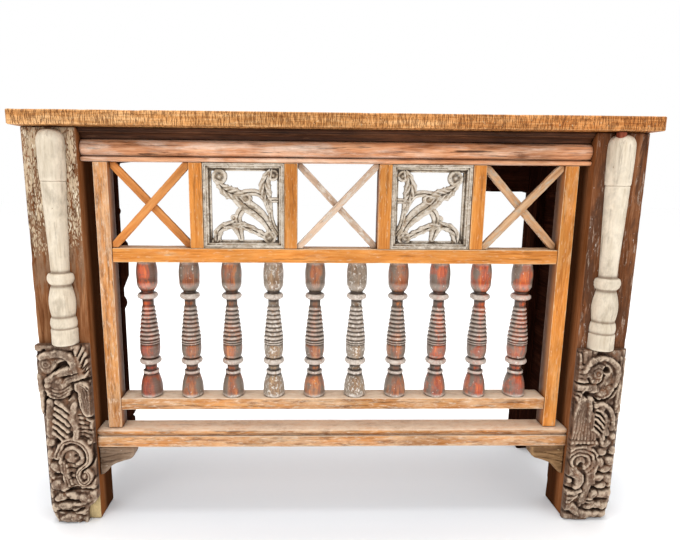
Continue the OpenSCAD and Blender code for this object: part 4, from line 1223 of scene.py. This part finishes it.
def relief_right(b):
    """A rosette over drapery, on curled leaves and a broad claw."""
    rubble(b, 170, 12, 17, 8)
    # rosette
    b.mound(66, 97, 30, 18, 16)
    b.fan(b.ridge, upper((2, 94), (4, 84)), upper((32, 102), (30, 93)), 4, 9, 17)
    b.mound(42, 87.2, 42, 40, 23, 0, 0.3)
    b.groove(upper((26, 83), (38, 86), (50, 84), (60, 77)), 4, 4)
    b.ridge(upper((12, 78), (26, 89), (50, 91.5), (70, 86), (78, 77), (76, 62)), 13, 24, (0.8, 1))
    b.mound(38, 87.2, 14, 15, 24, 0, 0.35)
    b.rings(38, 87.2, 13, 1.5, 2.5)
    b.groove(upper((21, 69), (28, 63.5), (38, 62), (47, 66), (51, 73)), 6, 8)
    b.hollow(55, 89.3, 9, 8, 16)
    # leaf tips at the inner side
    b.fan(b.ridge, upper((16, 80), (6, 82), (-2, 80)), upper((18, 64), (8, 66), (-2, 67)), 4, 10,
            19, (0.8, 1))
    b.groove(upper((-2, 62.5), (10, 62), (24, 63)), 7, 14, (1, 0.6))
    b.ridge(upper((-2, 59), (15, 57.5), (34, 60)), 13, 21)
    b.fan(b.ridge, upper((-2, 55), (12, 55), (18, 47)), upper((-2, 47), (4, 47), (8, 42)), 3, 6,
            18, drop=0.9)
    # cheeks and folds round the chin
    b.mound(60, 78, 30, 26, 18, -20, 0.3)
    for u, v, across, up in ((66, 57, 13, 13), (52, 53, 12, 10), (38, 56, 11, 8),
                             (60, 66, 12, 11), (72, 68, 9, 12)):
        b.mound(u, 50 + v / 2, across, up, 22, 10)
    b.groove(upper((24, 49), (40, 44), (54, 41.5), (66, 44), (76, 52), (83, 63)), 10, 15,
            (0.8, 0.8))
    b.hollow(22, 75.2, 10, 8, 15)
    b.fan(b.ridge, upper((84, 92), (86, 60), (84, 30)), upper((96, 90), (97, 60), (93, 30)), 3, 6,
            18, drop=0.9)
    # drapery
    b.mound(15, 60, 26, 46, 15, 0, 0.2)
    b.fan(b.ridge, upper((10, 46), (2, 24), (-6, 0)), upper((36, 44), (40, 22), (48, -2)), 9, 5.5,
            19, (0.7, 1.3), drop=1.0)
    b.ridge(upper((30, 46), (31, 34), (30, 20)), 11, 21, (1, 0.5))
    b.groove(upper((36, 42), (40, 30)), 6, 8)
    # curls
    b.mound(62, 60, 28, 44, 14, 0, 0.2)
    b.ridge(upper((42, 37), (55, 39), (70, 35), (79, 26), (82, 16)), 10, 20)
    b.fan(b.ridge, upper((46, 33), (56, 31), (66, 24), (72, 14)),
            upper((40, 11), (48, 7), (58, 2), (64, -6)), 5, 8, 20, (0.8, 1), drop=0.8)
    b.fan(b.groove, upper((46, 30), (56, 27), (66, 20)), upper((44, 14), (52, 10), (60, 5)), 4, 4,
            8)
    for u, v in ((57, 34.5), (70, 20), (80, 12), (70, 6), (84, 2)):
        b.mound(u, 50 + v / 2, 8, 9, 20, 20)
    # beaded band
    b.ridge(lower((-2, 94.5), (30, 95), (54, 93)), 12, 16, drop=0.3)
    for k in range(7):
        b.mound(4 + 8 * k, 47.2, 4.2, 4.2, 19)
    b.fan(b.ridge, lower((-2, 88), (50, 90)), lower((-2, 83), (44, 85)), 2, 5, 17, drop=0.9)
    # keyhole disc in curved ridges
    b.mound(26, 33, 34, 38, 13, 0, 0.1)
    for reach in (36, 27.5, 19):
        b.ridge([(24 + reach * math.cos(a), 35.5 + 0.24 * reach * math.sin(a))
                 for a in np.radians(np.arange(-60, 245, 20))], 7, 19, drop=0.9)
    b.mound(24, 35.7, 12, 13, 18, 0, 0.3)
    b.hollow(25, 33.5, 8, 10, 11)
    b.fan(b.ridge, lower((33, 66), (40, 56), (44, 44)), lower((54, 72), (56, 60), (56, 46)), 4, 6,
            18, drop=0.9)
    for u, v, across, up in (
            (72, 93, 12, 9), (88, 84, 9, 12), (66, 82, 10, 11), (84, 72, 10, 12),
            (66, 70, 9, 12), (78, 62, 13, 8), (66, 52, 11, 10), (84, 50, 10, 11),
            (72, 42, 12, 8), (58, 31, 12, 9), (76, 31, 13, 9), (90, 34, 9, 11),
            (50, 24, 9, 8), (54, 17, 11, 6), (67, 18, 11, 7), (80, 17, 10, 7),
            (52, 7, 11, 8), (66, 7, 12, 7), (80, 6, 10, 7)):
        b.mound(u, v / 2, across, up, 19, 20)
    b.groove(lower((56, 38), (72, 37), (92, 39)), 9, 14)
    b.fan(b.groove, lower((60, 77), (92, 79)), lower((60, 57), (92, 56)), 2, 8, 9)
    b.fan(b.groove, lower((46, 12), (90, 11)), lower((46, 23.5), (90, 23.5)), 2, 6, 12)
    # folds and claw
    b.ridge(lower((50, 54), (45, 42), (36, 22)), 17, 17)
    b.ridge(lower((-4, 60), (10, 58.5), (24, 52), (22, 40)), 24, 22, (1, 0.7))
    b.groove(lower((-2, 53), (10, 51), (15, 44)), 6, 6)
    b.groove(lower((-2, 38.5), (10, 36.5), (20, 37), (32, 43)), 9, 15)
    b.fan(b.ridge, lower((-2, 34), (14, 33), (30, 36)), lower((-2, 23), (8, 22), (16, 24)), 3, 11,
            20, (1, 0.6))
    b.groove(lower((30, 31), (20, 25), (8, 19)), 8, 14, (1, 0.6))
    b.ridge(lower((-4, 17), (12, 16.5), (26, 10), (44, 6)), 18, 21)
    b.ridge(lower((-2, 5), (20, 3), (44, 0)), 14, 17)


def carved_block(side, strokes, seed):
    node = "carved_block_" + side
    at = Place(node)
    board = Board(at.w, at.h, GRID)
    outer = board.x if side == "left" else board.w - board.x
    lean = math.hypot(FOOT_CUT_W, FOOT_CUT_H)
    cut = ((outer / FOOT_CUT_W + board.z / FOOT_CUT_H) - 1) * FOOT_CUT_W * FOOT_CUT_H / lean
    board.inside = np.minimum(board.inside, cut)
    if side == "left":
        # broken away at the lower inner corner, where the painted post shows
        broken = board.path([(76, -3), (76, 4), (79, 8.5), (92, 11.5), (106, 17)])
        board.inside = np.minimum(board.inside, board.measure(broken)[2])
    board.height += 10 * MM
    board.waver(1.8 * MM, 11 * MM, seed)
    strokes(board)
    board.height = (board.height + blurred(board.height, 1)) / 2
    board.weather(1.4, 1.0, seed)
    # the outer arris is worn away towards the post
    level = board.z / board.h
    keep = smoothstep(0.0, 0.09 * at.w, outer)
    if side == "left":
        keep = np.maximum(keep, smoothstep(0.60, 0.66, level))
    board.height = np.clip(board.height * (0.25 + 0.75 * keep), 3 * MM, at.d)
    carved(node, board, "Z", round_over=2.5 * MM, cavity_scale=3.0 * MM)


carved_block("left", relief_left, 3)
carved_block("right", relief_right, 4)

# ---------------------------------------------------------------- nodes kept from the CAD

replaced = {n for o in bpy.data.objects for n in o.get("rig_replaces", [])}
for node, obj in frame["nodes"].items():
    if node not in replaced:
        obj.data.materials.clear()
        obj.data.materials.append(finish_of(node))

# ---------------------------------------------------------------- studio


def plane(name, size, z):
    mesh = bpy.data.meshes.new(name)
    h = size / 2
    mesh.from_pydata([(-h, -h, z), (h, -h, z), (h, h, z), (-h, h, z)], [], [(0, 1, 2, 3)])
    obj = bpy.data.objects.new(name, mesh)
    bpy.context.scene.collection.objects.link(obj)
    return obj


floor = plane("floor", 30.0, 0.0)
n = Nodes("floor_painted_shadow")
# painted shadow: the floor is grey under the table and pales with distance
nearness = n.add("Mapping", {"Vector": n.object, "Scale": (0.45, 1.0, 1.0)})
distance = n.add("VectorMath", {0: nearness}, "Value", operation="LENGTH")
paper = n.ramp(n.range(distance, 0.20, 0.50), [(0.0, (222, 225, 229)), (1.0, (255, 255, 255))])
speck = n.noise(3.0, 3)
floor.data.materials.append(n.finish(paper, n.range(speck, 0.3, 0.7, 0.85, 0.95), speck, 0.01 * MM))


def softbox(name, place, target, size, power):
    light = bpy.data.lights.new(name, "AREA")
    light.shape, light.size, light.size_y, light.energy = "RECTANGLE", size[0], size[1], power
    obj = bpy.data.objects.new(name, light)
    bpy.context.scene.collection.objects.link(obj)
    obj.location = place
    aim = Vector(target) - Vector(place)
    obj.rotation_euler = aim.to_track_quat("-Z", "Y").to_euler()
    return obj


softbox("key", (-1.8, -3.0, 2.8), (0, 0, 0.5), (1.6, 1.6), 30)
softbox("fill", (2.4, -2.8, 1.8), (0, 0, 0.5), (2.4, 2.0), 6)
softbox("overhead", (0, 0.3, 3.0), (0, 0, 0), (2.6, 2.2), 90)

world = bpy.data.worlds.new("studio")
world.use_nodes = True
background = world.node_tree.nodes["Background"]
background.inputs[0].default_value = (1, 1, 1, 1)
background.inputs[1].default_value = 1.0
bpy.context.scene.world = world
bpy.context.scene.view_settings.view_transform = "Standard"

# ---------------------------------------------------------------- camera

LENS, SHIFT = 27.26, 0.038
YAW, PITCH, ROLL = math.radians(1.4), math.radians(9.9), math.radians(0.5)
CAMERA_AT = (-0.0775, FRONT_Y - 1.0983, 0.7849)

camera_data = bpy.data.cameras.new("camera")
camera_data.sensor_width = 36
camera_data.lens, camera_data.shift_x = LENS, SHIFT
camera = bpy.data.objects.new("camera", camera_data)
bpy.context.scene.collection.objects.link(camera)
forward = Vector((math.sin(YAW) * math.cos(PITCH), math.cos(YAW) * math.cos(PITCH),
                  -math.sin(PITCH)))
right = Vector((math.cos(YAW), -math.sin(YAW), 0))
up = right.cross(forward)
right, up = (right * math.cos(ROLL) + up * math.sin(ROLL),
             up * math.cos(ROLL) - right * math.sin(ROLL))
turn = Matrix((right, up, -forward)).transposed().to_4x4()
camera.matrix_world = Matrix.Translation(CAMERA_AT) @ turn
bpy.context.scene.camera = camera


def plain(bounds):
    return [[float(c) for c in corner] for corner in bounds]
